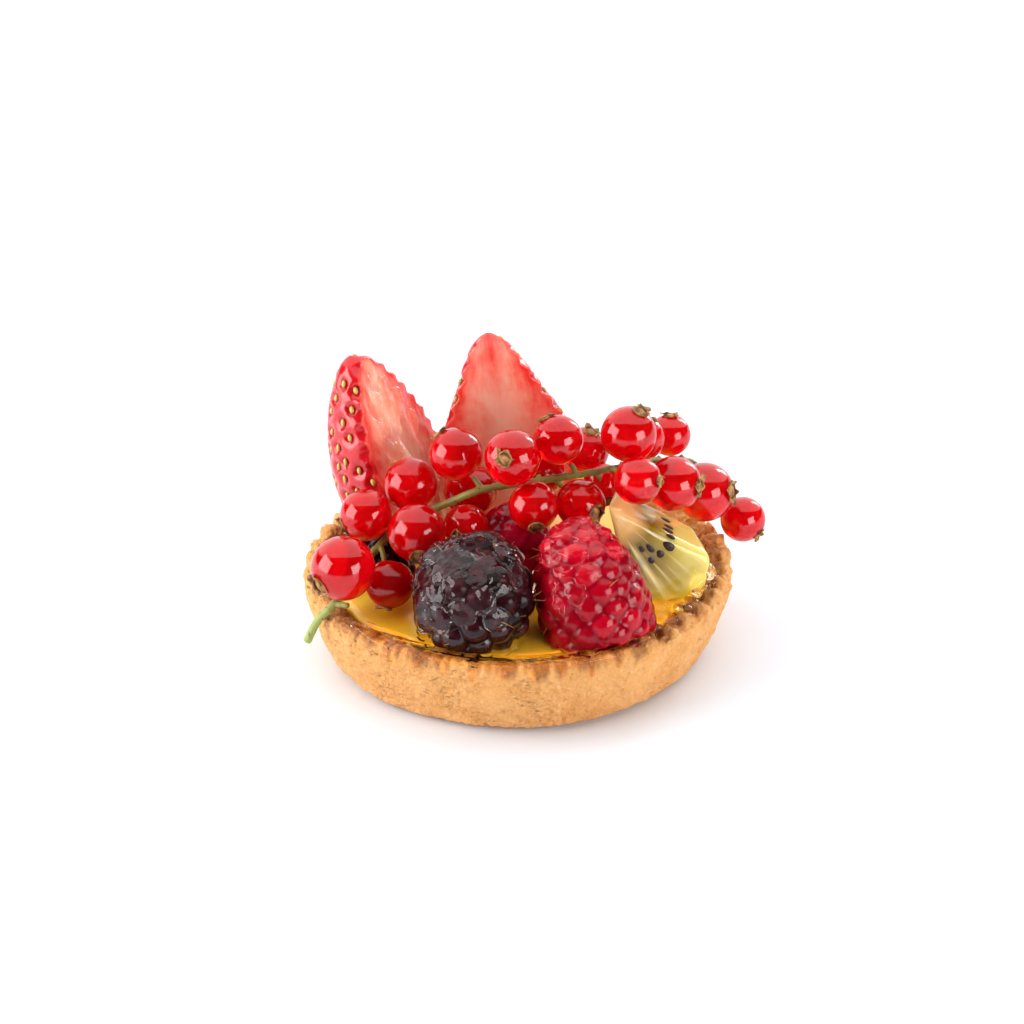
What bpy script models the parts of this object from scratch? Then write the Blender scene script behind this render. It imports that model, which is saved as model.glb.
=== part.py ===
"""A fruit tart: a shortcrust shell filled with custard, topped with berries, kiwi and a sprig of currants.

Metres, +Z up. The origin is the middle of the shell's flat base, and the front of the tart faces -Y.
"""

import math
import random

import bmesh
import bpy
from mathutils import Matrix, Vector
from mathutils.bvhtree import BVHTree

MM = 0.001
UP = Vector((0.0, 0.0, 1.0))

# Driving sizes
GAP = 0.3 * MM
TART_RADIUS = 37.5 * MM
TART_HEIGHT = 15.3 * MM
BASE_RADIUS = 33.2 * MM
BASE_EDGE = 1.0 * MM
WALL_BULGE = 0.5 * MM
RIM_WIDTH = 4.5 * MM
FLOOR_THICKNESS = 3.8 * MM
FLOOR_RADIUS = 29.6 * MM
FLUTES = 46
FLUTE_DEPTH = 1.2 * MM
FLUTE_NOTCH = 0.6 * MM
FLUTE_START = 13.2 * MM
CUSTARD_TOP = 13.8 * MM
FRUIT_FLOOR = CUSTARD_TOP + GAP

BRAMBLE_RADIUS = 9.1 * MM
BRAMBLE_LENGTH = 17.8 * MM
RASPBERRY_LENGTH = 19.8 * MM
RASPBERRY_RADIUS = 9.3 * MM
DRUPELET_RADIUS = 2.15 * MM
STRAWBERRY_LENGTH = 38.5 * MM
STRAWBERRY_RADIUS = 12.3 * MM
STRAWBERRY_OFFSET = 2.4 * MM
KIWI_RADIUS = 22.6 * MM
KIWI_THICKNESS = 9.0 * MM
KIWI_EDGE = 0.8 * MM
CROWN_SHARE = 0.21
STALK_RADIUS = 0.45 * MM
SHORTEST_STALK = 0.4 * MM
LONGEST_STALK = 12.0 * MM
STEM_THICK = 0.75 * MM
STEM_THIN = 0.5 * MM

# Each currant: centre x, y, z and radius in millimetres, then the way its dry flower end points.
CURRANTS = (
    (-29.4, -18.2, 23.6, 5.5, (-0.7, -0.6, -0.3)),
    (-25.9, -8.3, 28.4, 4.5, (-0.9, -0.3, -0.4)),
    (-16.4, -12.9, 27.2, 5.0, (0.1, -0.9, -0.4)),
    (-21.8, -14.3, 18.3, 4.2, (-0.2, -0.5, -0.9)),
    (-18.4, -5.5, 32.9, 4.6, (-0.4, 0.9, 0.1)),
    (-10.5, -3.0, 37.4, 4.6, (-0.7, 0.4, 0.7)),
    (-0.8, -8.5, 39.6, 4.8, (-0.3, -0.9, 0.4)),
    (7.0, -3.5, 40.4, 4.3, (-0.5, 0.4, 0.8)),
    (12.0, 6.8, 33.1, 4.1, (0.2, -0.1, 1.0)),
    (19.0, -4.5, 42.1, 4.8, (0.4, 0.0, 0.9)),
    (21.6, 3.8, 37.0, 4.0, (0.3, -0.1, 0.9)),
    (26.7, 9.2, 34.8, 3.7, (0.0, 0.2, 1.0)),
    (20.4, -12.2, 37.1, 4.1, (0.9, -0.4, 0.2)),
    (26.8, -3.0, 31.6, 4.8, (0.9, -0.4, 0.1)),
    (32.7, 4.4, 26.1, 5.2, (0.9, -0.3, 0.2)),
    (39.9, 8.2, 18.6, 4.0, (0.7, -0.5, -0.5)),
    (2.8, -10.2, 31.2, 4.3, (0.1, -0.9, -0.5)),
    (10.9, -6.5, 29.6, 4.3, (0.6, -0.8, 0.0)),
    (-8.8, -7.6, 25.8, 3.9, (-0.4, -0.9, -0.1)),
    (-8.2, 3.6, 26.9, 4.7, (0.0, -0.8, -0.6)),
    (14.9, 0.6, 29.8, 3.5, (0.3, -0.8, -0.5)),
    (4.0, 2.6, 31.0, 4.3, (0.0, -1.0, -0.3)),
)

# The sprig's main stem, in millimetres, from its cut end at the left to its tip behind the right rim.
STEM_ROUTE = (
    (-36.0, -18.0, 9.1),
    (-34.0, -18.6, 13.6),
    (-31.2, -18.8, 16.9),
    (-28.4, -12.5, 17.9),
    (-25.2, -10.2, 21.5),
    (-19.4, -6.6, 26.2),
    (-13.2, -6.0, 28.9),
    (-7.2, -7.0, 32.3),
    (-3.8, -5.6, 32.4),
    (3.5, -5.6, 33.6),
    (7.3, -6.2, 34.6),
    (11.6, -6.4, 35.4),
    (16.2, -6.0, 36.2),
    (20.8, -4.6, 35.9),
    (23.2, -1.5, 35.4),
    (25.7, 2.8, 33.0),
    (30.5, 9.5, 29.5),
    (34.0, 11.0, 25.0),
    (36.5, 11.5, 21.5),
)
STUB_END = (-28.6, -20.2, 17.4)


def clear_scene():
    for thing in list(bpy.data.objects):
        bpy.data.objects.remove(thing, do_unlink=True)


def food_material(name, colour, roughness):
    material = bpy.data.materials.new(name)
    material.use_nodes = True
    shader = material.node_tree.nodes["Principled BSDF"]
    shader.inputs["Base Color"].default_value = (*colour, 1.0)
    shader.inputs["Roughness"].default_value = roughness
    shader.inputs["Metallic"].default_value = 0.0
    return material


def make_object(name, shape, material, sharp=40.0):
    """Turns a bmesh into a named object whose mesh is placed in the world."""
    bmesh.ops.remove_doubles(shape, verts=shape.verts, dist=0.01 * MM)
    bmesh.ops.recalc_face_normals(shape, faces=shape.faces)
    mesh = bpy.data.meshes.new(name)
    shape.to_mesh(mesh)
    shape.free()
    mesh.materials.append(material)
    mesh.shade_smooth()
    mesh.set_sharp_from_angle(angle=math.radians(sharp))
    piece = bpy.data.objects.new(name, mesh)
    bpy.context.scene.collection.objects.link(piece)
    return piece


def spin_profile(points, steps):
    """Turns a profile of (radius, height) points round the Z axis into a closed shape."""
    shape = bmesh.new()
    ring = [shape.verts.new((radius, 0.0, height)) for radius, height in points]
    edges = [shape.edges.new(pair) for pair in zip(ring, ring[1:])]
    bmesh.ops.spin(
        shape, geom=ring + edges, cent=(0, 0, 0), axis=UP, angle=math.tau, steps=steps, use_merge=True
    )
    bmesh.ops.remove_doubles(shape, verts=shape.verts, dist=0.02 * MM)
    bmesh.ops.recalc_face_normals(shape, faces=shape.faces)
    return shape


def cut_away(shape, point, normal):
    """Cuts off what lies on the normal's side of a plane, and closes the cut with a flat face."""
    geometry = shape.verts[:] + shape.edges[:] + shape.faces[:]
    bmesh.ops.bisect_plane(
        shape, geom=geometry, dist=0.001 * MM, plane_co=point, plane_no=normal, clear_outer=True
    )
    open_edges = [edge for edge in shape.edges if edge.is_boundary]
    if open_edges:
        bmesh.ops.holes_fill(shape, edges=open_edges, sides=0)


def smooth_step(value):
    value = min(1.0, max(0.0, value))
    return value * value * (3.0 - 2.0 * value)


def wobble(angle):
    """How far the hand-pressed shell strays from a true circle at an angle."""
    waves = 0.32 * math.sin(2 * angle + 0.6) + 0.20 * math.sin(5 * angle + 2.0)
    return (waves + 0.10 * math.sin(9 * angle + 4.0)) * MM


def stray(vertex):
    radius = math.hypot(vertex.co.x, vertex.co.y)
    if radius < 1.0 * MM:
        return
    push = wobble(math.atan2(vertex.co.y, vertex.co.x)) * radius / TART_RADIUS
    vertex.co.x += vertex.co.x / radius * push
    vertex.co.y += vertex.co.y / radius * push


def inner_radius(height):
    """The shell's inner wall widens from its floor to its rim."""
    rim_inside = TART_RADIUS - RIM_WIDTH
    share = (height - FLOOR_THICKNESS) / (CUSTARD_TOP - FLOOR_THICKNESS)
    return FLOOR_RADIUS + (rim_inside - FLOOR_RADIUS) * share


def shell_profile():
    shoulder = 13.9 * MM
    points = [(0.0, 0.0), (BASE_RADIUS - BASE_EDGE, 0.0), (BASE_RADIUS, BASE_EDGE)]
    for share in (0.36, 0.68):
        radius = BASE_RADIUS + (TART_RADIUS - BASE_RADIUS) * share + WALL_BULGE * math.sin(math.pi * share)
        points.append((radius, BASE_EDGE + (shoulder - BASE_EDGE) * share))
    points.append((TART_RADIUS, shoulder))
    points.append((TART_RADIUS - 0.3 * MM, TART_HEIGHT - 0.4 * MM))
    points.append((TART_RADIUS - 1.6 * MM, TART_HEIGHT + 0.2 * MM))
    points.append((TART_RADIUS - 3.4 * MM, TART_HEIGHT - 0.1 * MM))
    points.append((TART_RADIUS - RIM_WIDTH + 0.1 * MM, TART_HEIGHT - 0.9 * MM))
    points.append((inner_radius(FLUTE_START), FLUTE_START))
    points.append((inner_radius(FLOOR_THICKNESS), FLOOR_THICKNESS))
    points.append((0.0, FLOOR_THICKNESS))
    return points


def crimp(shape):
    """Presses grooves across the rim, each a little deeper or shallower than the next."""
    draw = random.Random(5)
    depths = [draw.uniform(0.65, 1.25) for _ in range(FLUTES)]
    for vertex in shape.verts:
        radius = math.hypot(vertex.co.x, vertex.co.y)
        if vertex.co.z < FLUTE_START or radius < FLOOR_RADIUS:
            continue
        angle = math.atan2(vertex.co.y, vertex.co.x) % math.tau
        flute = angle / math.tau * FLUTES
        depth = depths[int(round(flute)) % FLUTES]
        groove = 0.5 + 0.5 * math.cos(math.tau * flute)
        press = groove * depth * smooth_step((vertex.co.z - FLUTE_START) / (TART_HEIGHT - FLUTE_START))
        outside = smooth_step((radius - (TART_RADIUS - 2.0 * MM)) / (2.0 * MM))
        vertex.co.z -= FLUTE_DEPTH * press
        inward = FLUTE_NOTCH * press * outside / radius
        vertex.co.x -= vertex.co.x * inward
        vertex.co.y -= vertex.co.y * inward


def make_crust(material):
    shape = spin_profile(shell_profile(), FLUTES * 2)
    crimp(shape)
    for vertex in shape.verts:
        stray(vertex)
    return make_object("crust", shape, material, sharp=60.0)


def make_custard(material):
    bottom = FLOOR_THICKNESS + GAP
    side_gap = GAP * 1.3
    crown = 0.25 * MM
    points = [
        (0.0, bottom),
        (inner_radius(bottom) - side_gap, bottom),
        (inner_radius(CUSTARD_TOP - 1.2 * MM) - side_gap, CUSTARD_TOP - 1.2 * MM),
        (inner_radius(CUSTARD_TOP) - side_gap - 0.4 * MM, CUSTARD_TOP - crown),
        (inner_radius(CUSTARD_TOP) - 2.4 * MM, CUSTARD_TOP),
        (0.0, CUSTARD_TOP),
    ]
    shape = spin_profile(points, FLUTES)
    for vertex in shape.verts:
        stray(vertex)
    return make_object("custard", shape, material, sharp=60.0)


def bramble_outline(length, radius):
    """Half an oval from the flower end to the tip: (height, radius) points."""
    steps = 24
    for step in range(steps + 1):
        angle = math.pi * step / steps
        yield 0.5 * length * (1.0 - math.cos(angle)), radius * math.sin(angle) ** 0.85


def raspberry_outline(length, radius, cone):
    """A blunt cone, widest a quarter of the way up and slimmer by a share at its tip: (height, radius) points."""
    steps = 24
    for step in range(steps + 1):
        share = step / steps
        blunt = math.sqrt(max(0.0, 1.0 - share ** 3.2))
        foot = 0.86 + 0.14 * math.sin(0.5 * math.pi * min(1.0, share / 0.25))
        yield length * share, radius * blunt * foot * (1.0 - cone * share)


def drupelets(outline, drupelet, seed):
    """Rows of small spheres on an outline, each row turned by half a drupelet from the last."""
    draw = random.Random(seed)
    points = list(outline)
    pitch = drupelet * 1.72
    travelled = pitch * 0.4
    spheres = []
    turn = 0.0
    for (low, low_radius), (high, high_radius) in zip(points, points[1:]):
        travelled += math.hypot(high - low, high_radius - low_radius)
        if travelled < pitch:
            continue
        travelled -= pitch
        ring = high_radius - 0.35 * drupelet
        count = max(1, round(math.tau * ring / pitch))
        turn += 0.5
        for place in range(count):
            angle = math.tau * (place + turn) / count + draw.uniform(-0.05, 0.05)
            middle = Vector((ring * math.cos(angle), ring * math.sin(angle), high))
            spheres.append((middle, drupelet * draw.uniform(0.92, 1.08)))
    return spheres


def reach(direction, core, spheres):
    """How far a ray from the core runs before it leaves the outermost drupelet that it meets."""
    best = 0.0
    nearest = None
    for middle, radius in spheres:
        offset = middle - core
        along = offset.dot(direction)
        aside = radius * radius - (offset.length_squared - along * along)
        if aside > 0.0:
            best = max(best, along + math.sqrt(aside))
        turned = along / offset.length
        if nearest is None or turned > nearest[0]:
            nearest = (turned, offset.length)
    return max(best, nearest[1])


def tuck_inside_rim(shape):
    """Presses fruit that would meet the rim back to the shell's inner edge."""
    limit = TART_RADIUS - RIM_WIDTH - 0.9 * MM
    over_rim = TART_HEIGHT + 0.8 * MM
    for vertex in shape.verts:
        radius = math.hypot(vertex.co.x, vertex.co.y)
        if vertex.co.z < over_rim and radius > limit:
            vertex.co.x *= limit / radius
            vertex.co.y *= limit / radius


def make_drupe(name, outline, length, drupelet, foot, axis, material, seed):
    """A berry of many drupelets, standing on its foot and leaning along its axis, cut flat on the custard."""
    spheres = drupelets(outline, drupelet, seed)
    core = UP * (0.45 * length)
    shape = bmesh.new()
    bmesh.ops.create_icosphere(shape, subdivisions=4, radius=1.0)
    for vertex in shape.verts:
        direction = vertex.co.normalized()
        vertex.co = core + direction * reach(direction, core, spheres)
    lean = UP.rotation_difference(Vector(axis).normalized()).to_matrix().to_4x4()
    bmesh.ops.transform(shape, matrix=Matrix.Translation(foot) @ lean, verts=shape.verts)
    cut_away(shape, (0.0, 0.0, FRUIT_FLOOR), -UP)
    tuck_inside_rim(shape)
    return make_object(name, shape, material, sharp=70.0)


def strawberry_profile(widest, slim):
    """From the leafy end up to the tip, as (radius, height), slimmed by a share between middle and tip."""
    shares = (
        (0.00, 0.00),
        (0.50, 0.01),
        (0.80, 0.07),
        (0.96, 0.20),
        (1.00, 0.36),
        (0.93, 0.52),
        (0.78, 0.67),
        (0.58, 0.80),
        (0.37, 0.91),
        (0.18, 0.975),
        (0.00, 1.00),
    )
    slimmed = [(wide * (1.0 - slim * max(0.0, math.sin((high - 0.5) * math.tau))), high) for wide, high in shares]
    return [(widest * wide, STRAWBERRY_LENGTH * high) for wide, high in slimmed]


def make_half_strawberry(name, tip, foot, widest, slim, cut_normal, cut_offset, material, seed):
    """A halved strawberry on its leafy end, tip up, with its flat cut turned to face a direction."""
    shape = spin_profile(strawberry_profile(widest, slim), 26)
    draw = random.Random(seed)
    for vertex in shape.verts:
        vertex.co *= 1.0 + draw.uniform(-0.012, 0.012)
    tip = Vector(tip) * MM
    foot = Vector(foot) * MM
    axis = (tip - foot).normalized()
    facing = Vector(cut_normal)
    facing = (facing - axis * facing.dot(axis)).normalized()
    side = axis.cross(facing)
    turn = Matrix((facing, side, axis)).transposed().to_4x4()
    start = tip - axis * STRAWBERRY_LENGTH
    bmesh.ops.transform(shape, matrix=Matrix.Translation(start) @ turn, verts=shape.verts)
    cut_away(shape, start + facing * cut_offset, facing)
    cut_away(shape, (0.0, 0.0, FRUIT_FLOOR), -UP)
    tuck_inside_rim(shape)
    return make_object(name, shape, material)


def make_kiwi(material):
    """A wedge cut from a thick round slice: its core corner is up, and its rind lies towards the rim."""
    core = Vector((15.1, -11.4, 32.0)) * MM
    to_rim = Vector((0.869, 0.015, -0.494)).normalized()
    down = Vector((-0.476, -0.238, -0.845)).normalized()
    thick = Vector((-0.13, 0.99, 0.05)).normalized()
    spread = math.radians(48.0)
    steps = 9
    shape = bmesh.new()
    corners = [shape.verts.new(core)]
    for step in range(steps + 1):
        angle = spread * step / steps
        corners.append(shape.verts.new(core + KIWI_RADIUS * (to_rim * math.cos(angle) + down * math.sin(angle))))
    front = shape.faces.new(corners)
    grown = bmesh.ops.extrude_face_region(shape, geom=[front])
    back = [item for item in grown["geom"] if isinstance(item, bmesh.types.BMVert)]
    taper = 0.9
    for vertex in back:
        if (vertex.co - core).length < MM:
            vertex.co = core + to_rim * 3.6 * MM
        vertex.co = core + (vertex.co - core) * taper + thick * KIWI_THICKNESS
    bmesh.ops.recalc_face_normals(shape, faces=shape.faces)
    long_edges = [edge for edge in shape.edges if edge.calc_face_angle(0.0) > math.radians(35.0)]
    bmesh.ops.bevel(
        shape, geom=long_edges, offset=KIWI_EDGE, segments=2, profile=0.5, affect="EDGES", material=-1
    )
    cut_away(shape, (0.0, 0.0, FRUIT_FLOOR), -UP)
    tuck_inside_rim(shape)
    return make_object("kiwi_wedge", shape, material)


class Berry:
    """One currant of the sprig: where it hangs, how big it is and where its dry flower end points."""

    def __init__(self, x, y, z, radius, flower):
        self.home = Vector((x, y, z)) * MM
        self.place = self.home.copy()
        self.radius = radius * MM
        self.flower = Vector(flower).normalized()


# Berries that are pressed together give way mostly towards the back and down, and hardly sideways.
GIVE_WAY = Vector((0.0, 0.879, -0.477))
SIDEWAYS = 0.25


def push_berry(berry, push):
    deep = GIVE_WAY * push.dot(GIVE_WAY)
    berry.place += deep + (push - deep) * SIDEWAYS


def settle(berries, neighbours, stem):
    """Moves crowded currants apart until each keeps the gap to the others, the fruit and the stem."""
    flower_room = 0.25 * MM
    for _ in range(400):
        for first, berry in enumerate(berries):
            for other in berries[first + 1:]:
                offset = other.place - berry.place
                want = berry.radius + other.radius + GAP + flower_room
                if offset.length < want:
                    share = offset.normalized() * (want - offset.length) * 0.5
                    push_berry(other, share)
                    push_berry(berry, -share)
            for tree in neighbours:
                spot, normal, _, distance = tree.find_nearest(berry.place)
                outward = berry.place - spot
                inside = outward.normalized().dot(normal) < -0.9
                room = -distance if inside else distance
                way = normal if inside or distance < 0.1 * MM else outward.normalized()
                crown = CROWN_SHARE * berry.radius * max(0.0, -way.dot(berry.flower))
                want = berry.radius + GAP + crown
                if room < want:
                    push_berry(berry, way * (want - room))
            spot = min(stem, key=lambda point: (point - berry.place).length_squared)
            outward = berry.place - spot
            want = berry.radius + STEM_THICK + GAP
            if outward.length < want:
                push_berry(berry, outward.normalized() * (want - outward.length))
            home = berry.home - berry.place
            berry.place += (home - GIVE_WAY * home.dot(GIVE_WAY)) * 0.05


def make_currant(name, berry, material):
    """A round berry whose pole is drawn out into the dry crown of its flower end."""
    shape = bmesh.new()
    bmesh.ops.create_uvsphere(shape, u_segments=10, v_segments=8, radius=berry.radius)
    pole = max(shape.verts, key=lambda vertex: vertex.co.z)
    cap = list(pole.link_faces)
    grown = bmesh.ops.extrude_face_region(shape, geom=cap)
    crown = [item for item in grown["geom"] if isinstance(item, bmesh.types.BMVert)]
    crown_radius = 0.24 * berry.radius
    crown_height = CROWN_SHARE * 0.75 * berry.radius
    for vertex in crown:
        flat = Vector((vertex.co.x, vertex.co.y, 0.0))
        if flat.length < 0.01 * MM:
            vertex.co = UP * (berry.radius + 0.3 * crown_height)
            continue
        petal = 1.0 + 0.28 * math.cos(5.0 * math.atan2(flat.y, flat.x))
        vertex.co = flat.normalized() * crown_radius * petal + UP * (berry.radius + crown_height * petal)
    bmesh.ops.delete(shape, geom=[face for face in cap if face.is_valid], context="FACES")
    turn = UP.rotation_difference(berry.flower).to_matrix().to_4x4()
    bmesh.ops.transform(shape, matrix=Matrix.Translation(berry.place) @ turn, verts=shape.verts)
    return make_object(name, shape, material, sharp=60.0)


def smooth_route(points, steps):
    """A Catmull-Rom curve through hand-chosen points."""
    padded = [points[0] * 2 - points[1]] + points + [points[-1] * 2 - points[-2]]
    route = []
    for index in range(len(points) - 1):
        before, start, end, after = padded[index:index + 4]
        for step in range(steps):
            share = step / steps
            bend = (end - before) * share
            curve = (before * 2 - start * 5 + end * 4 - after) * share ** 2
            finish = (start * 3 - before - end * 3 + after) * share ** 3
            route.append(start + (bend + curve + finish) * 0.5)
    route.append(points[-1])
    return route


def make_tube(name, route, start_radius, end_radius, sides):
    """A round stick along a route, thinning from its start to its end."""
    curve = bpy.data.curves.new(name, "CURVE")
    curve.dimensions = "3D"
    curve.bevel_depth = 1.0
    curve.bevel_resolution = sides // 2 - 2
    curve.use_fill_caps = True
    spline = curve.splines.new("POLY")
    spline.points.add(len(route) - 1)
    for index, (point, place) in enumerate(zip(spline.points, route)):
        share = index / (len(route) - 1)
        point.co = (*place, 1.0)
        point.radius = start_radius + (end_radius - start_radius) * share
    guide = bpy.data.objects.new(name + "_guide", curve)
    bpy.context.scene.collection.objects.link(guide)
    evaluated = guide.evaluated_get(bpy.context.evaluated_depsgraph_get())
    mesh = bpy.data.meshes.new_from_object(evaluated)
    bpy.data.objects.remove(guide, do_unlink=True)
    shape = bmesh.new()
    shape.from_mesh(mesh)
    bmesh.ops.remove_doubles(shape, verts=shape.verts, dist=0.005 * MM)
    bmesh.ops.recalc_face_normals(shape, faces=shape.faces)
    shape.to_mesh(mesh)
    shape.free()
    stick = bpy.data.objects.new(name, mesh)
    bpy.context.scene.collection.objects.link(stick)
    return stick


def is_free(start, end, berry, berries, neighbours):
    """Whether a stalk between two points misses all other fruit."""
    for step in range(1, 9):
        point = start.lerp(end, step / 8)
        for other in berries:
            if other is not berry and (point - other.place).length < other.radius + STALK_RADIUS + GAP:
                return False
        for tree in neighbours:
            if tree.find_nearest(point)[3] < STALK_RADIUS + GAP:
                return False
    return True


def stalk_route(berry, berries, neighbours, stem):
    """The way from the stem to a berry, or nothing where other fruit is in between."""
    heel = berry.place - berry.flower * (berry.radius + GAP)
    for aim in (heel, berry.place):
        start = min(stem[3:], key=lambda point: (point - aim).length_squared)
        end = berry.place - (berry.place - start).normalized() * (berry.radius + GAP)
        length = (end - start).length
        fits = SHORTEST_STALK < length < LONGEST_STALK
        if fits and is_free(start, end, berry, berries, neighbours):
            return [start, start.lerp(end, 0.55) + UP * 0.15 * MM, end]
    return None


def make_sprig(berries, neighbours, stem, material):
    """The main stem with its stub and the stalks that reach the berries, joined into one piece."""
    trunk = make_tube("currant_sprig", stem, STEM_THICK, STEM_THIN, 6)
    branches = bpy.data.collections.new("branches")
    bpy.context.scene.collection.children.link(branches)
    routes = [stalk_route(berry, berries, neighbours, stem) for berry in berries]
    fork = min(stem, key=lambda point: (point - Vector(STEM_ROUTE[2]) * MM).length)
    routes.append([fork, Vector(STUB_END) * MM])
    for index, route in enumerate(routes):
        if route is None:
            continue
        branch = make_tube(f"stalk_{index:02d}", route, STALK_RADIUS, STALK_RADIUS, 6)
        bpy.context.scene.collection.objects.unlink(branch)
        branches.objects.link(branch)
    union = trunk.modifiers.new("Union", "BOOLEAN")
    union.operation = "UNION"
    union.operand_type = "COLLECTION"
    union.collection = branches
    union.solver = "EXACT"
    joined = trunk.evaluated_get(bpy.context.evaluated_depsgraph_get())
    mesh = bpy.data.meshes.new_from_object(joined)
    trunk.modifiers.remove(union)
    for branch in list(branches.objects):
        bpy.data.objects.remove(branch, do_unlink=True)
    bpy.data.collections.remove(branches)
    mesh.materials.clear()
    mesh.materials.append(material)
    mesh.shade_smooth()
    trunk.data = mesh
    return trunk


def surface_tree(piece):
    shape = bmesh.new()
    shape.from_mesh(piece.data)
    tree = BVHTree.FromBMesh(shape)
    shape.free()
    return tree


def build():
    clear_scene()
    crumb = food_material("shortcrust", (0.78, 0.47, 0.20), 0.75)
    cream = food_material("custard", (0.83, 0.50, 0.08), 0.4)
    dark = food_material("bramble_skin", (0.03, 0.01, 0.02), 0.15)
    ruby = food_material("raspberry_skin", (0.50, 0.01, 0.03), 0.2)
    scarlet = food_material("strawberry_flesh", (0.68, 0.06, 0.04), 0.3)
    green = food_material("kiwi_flesh", (0.52, 0.45, 0.06), 0.3)
    glassy = food_material("currant_skin", (0.56, 0.01, 0.02), 0.12)
    twig = food_material("green_stem", (0.18, 0.20, 0.04), 0.6)

    crust = make_crust(crumb)
    custard = make_custard(cream)
    bramble = list(bramble_outline(BRAMBLE_LENGTH, BRAMBLE_RADIUS))
    side_bramble = [(high * 0.58, wide * 0.5) for high, wide in bramble]
    raspberry = list(raspberry_outline(RASPBERRY_LENGTH, RASPBERRY_RADIUS, 0.22))
    rear_outline = raspberry_outline(RASPBERRY_LENGTH, RASPBERRY_RADIUS, 0.14)
    rear_raspberry = [(high * 0.64, wide * 0.8) for high, wide in rear_outline]
    fruit = [
        make_drupe(
            "bramble_front", bramble, BRAMBLE_LENGTH, DRUPELET_RADIUS,
            Vector((-7.7, -23.4, 12.0)) * MM, (0.03, -0.05, 1.0), dark, seed=3,
        ),
        make_drupe(
            "bramble_side", side_bramble, BRAMBLE_LENGTH * 0.58, DRUPELET_RADIUS * 0.8,
            Vector((-23.1, -4.9, 11.8)) * MM, (0.0, 0.0, 1.0), dark, seed=8,
        ),
        make_drupe(
            "raspberry_front", raspberry, RASPBERRY_LENGTH, DRUPELET_RADIUS * 0.95,
            Vector((14.5, -23.0, 12.9)) * MM, (-0.30, 0.2, 1.0), ruby, seed=12,
        ),
        make_drupe(
            "raspberry_rear", rear_raspberry, RASPBERRY_LENGTH * 0.64, DRUPELET_RADIUS * 0.95,
            Vector((-0.6, -4.2, 12.9)) * MM, (0.0, 0.0, 1.0), ruby, seed=21,
        ),
        make_half_strawberry(
            "strawberry_side", (-29.2, 12.6, 48.8), (-16.0, 11.8, 14.0), STRAWBERRY_RADIUS * 0.98, 0.0,
            (0.91, -0.42, 0.1), STRAWBERRY_OFFSET, scarlet, seed=1,
        ),
        make_half_strawberry(
            "strawberry_back", (-5.2, 13.5, 52.6), (0.9, 12.5, 14.0), STRAWBERRY_RADIUS, 0.14,
            (0.1, -1.0, 0.1), 0.0, scarlet, seed=2,
        ),
        make_kiwi(green),
    ]

    stem = smooth_route([Vector(point) * MM for point in STEM_ROUTE], 3)
    berries = [Berry(*row) for row in CURRANTS]
    neighbours = [surface_tree(piece) for piece in [crust, custard] + fruit]
    settle(berries, neighbours, stem)
    for index, berry in enumerate(berries, start=1):
        make_currant(f"currant_{index:02d}", berry, glassy)
    make_sprig(berries, neighbours, stem, twig)


build()
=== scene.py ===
# %% [markdown]
# # A berry tart, dressed around its CAD frame
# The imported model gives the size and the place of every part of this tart: the shortcrust shell, the custard,
# seven pieces of cut or whole fruit, twenty-two currants and their stem. This notebook gives each one the
# surface that the real food has. Nothing is moved: a new piece always sits where its CAD solid is.

import math
import random

import bmesh
import bpy
import numpy as np
from mathutils import Matrix, Vector, kdtree, noise


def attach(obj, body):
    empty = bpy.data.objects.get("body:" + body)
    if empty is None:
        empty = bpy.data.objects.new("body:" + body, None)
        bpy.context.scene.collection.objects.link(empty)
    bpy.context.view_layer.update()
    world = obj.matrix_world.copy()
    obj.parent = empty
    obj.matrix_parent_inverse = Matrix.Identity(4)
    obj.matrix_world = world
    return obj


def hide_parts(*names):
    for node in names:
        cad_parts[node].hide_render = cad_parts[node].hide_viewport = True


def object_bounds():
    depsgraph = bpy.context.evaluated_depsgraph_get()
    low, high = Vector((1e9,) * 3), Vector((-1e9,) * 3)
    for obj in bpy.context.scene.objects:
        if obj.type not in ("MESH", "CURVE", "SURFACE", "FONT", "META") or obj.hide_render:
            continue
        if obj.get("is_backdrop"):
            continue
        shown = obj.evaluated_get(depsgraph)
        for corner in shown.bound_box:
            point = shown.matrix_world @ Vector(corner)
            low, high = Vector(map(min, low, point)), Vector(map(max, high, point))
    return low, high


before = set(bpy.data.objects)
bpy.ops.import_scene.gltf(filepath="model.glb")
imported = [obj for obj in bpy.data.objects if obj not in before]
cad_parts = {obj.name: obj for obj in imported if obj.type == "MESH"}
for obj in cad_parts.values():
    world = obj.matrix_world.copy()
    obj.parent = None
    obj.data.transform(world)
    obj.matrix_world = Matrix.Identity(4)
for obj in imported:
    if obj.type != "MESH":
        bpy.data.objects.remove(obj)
cad_low, cad_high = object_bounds()
MM = 0.001
UP = Vector((0.0, 0.0, 1.0))
print("nodes in the frame:", len(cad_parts))
print("size in mm:", [round(side / MM, 1) for side in cad_high - cad_low])

# %% [markdown]
# ## Sizes
# The shell's profile is a short list of named sizes, so the dressed shell can be spun from the same numbers as
# the solid one. They are all in metres, and the origin is the middle of the tart's flat base.

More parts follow.
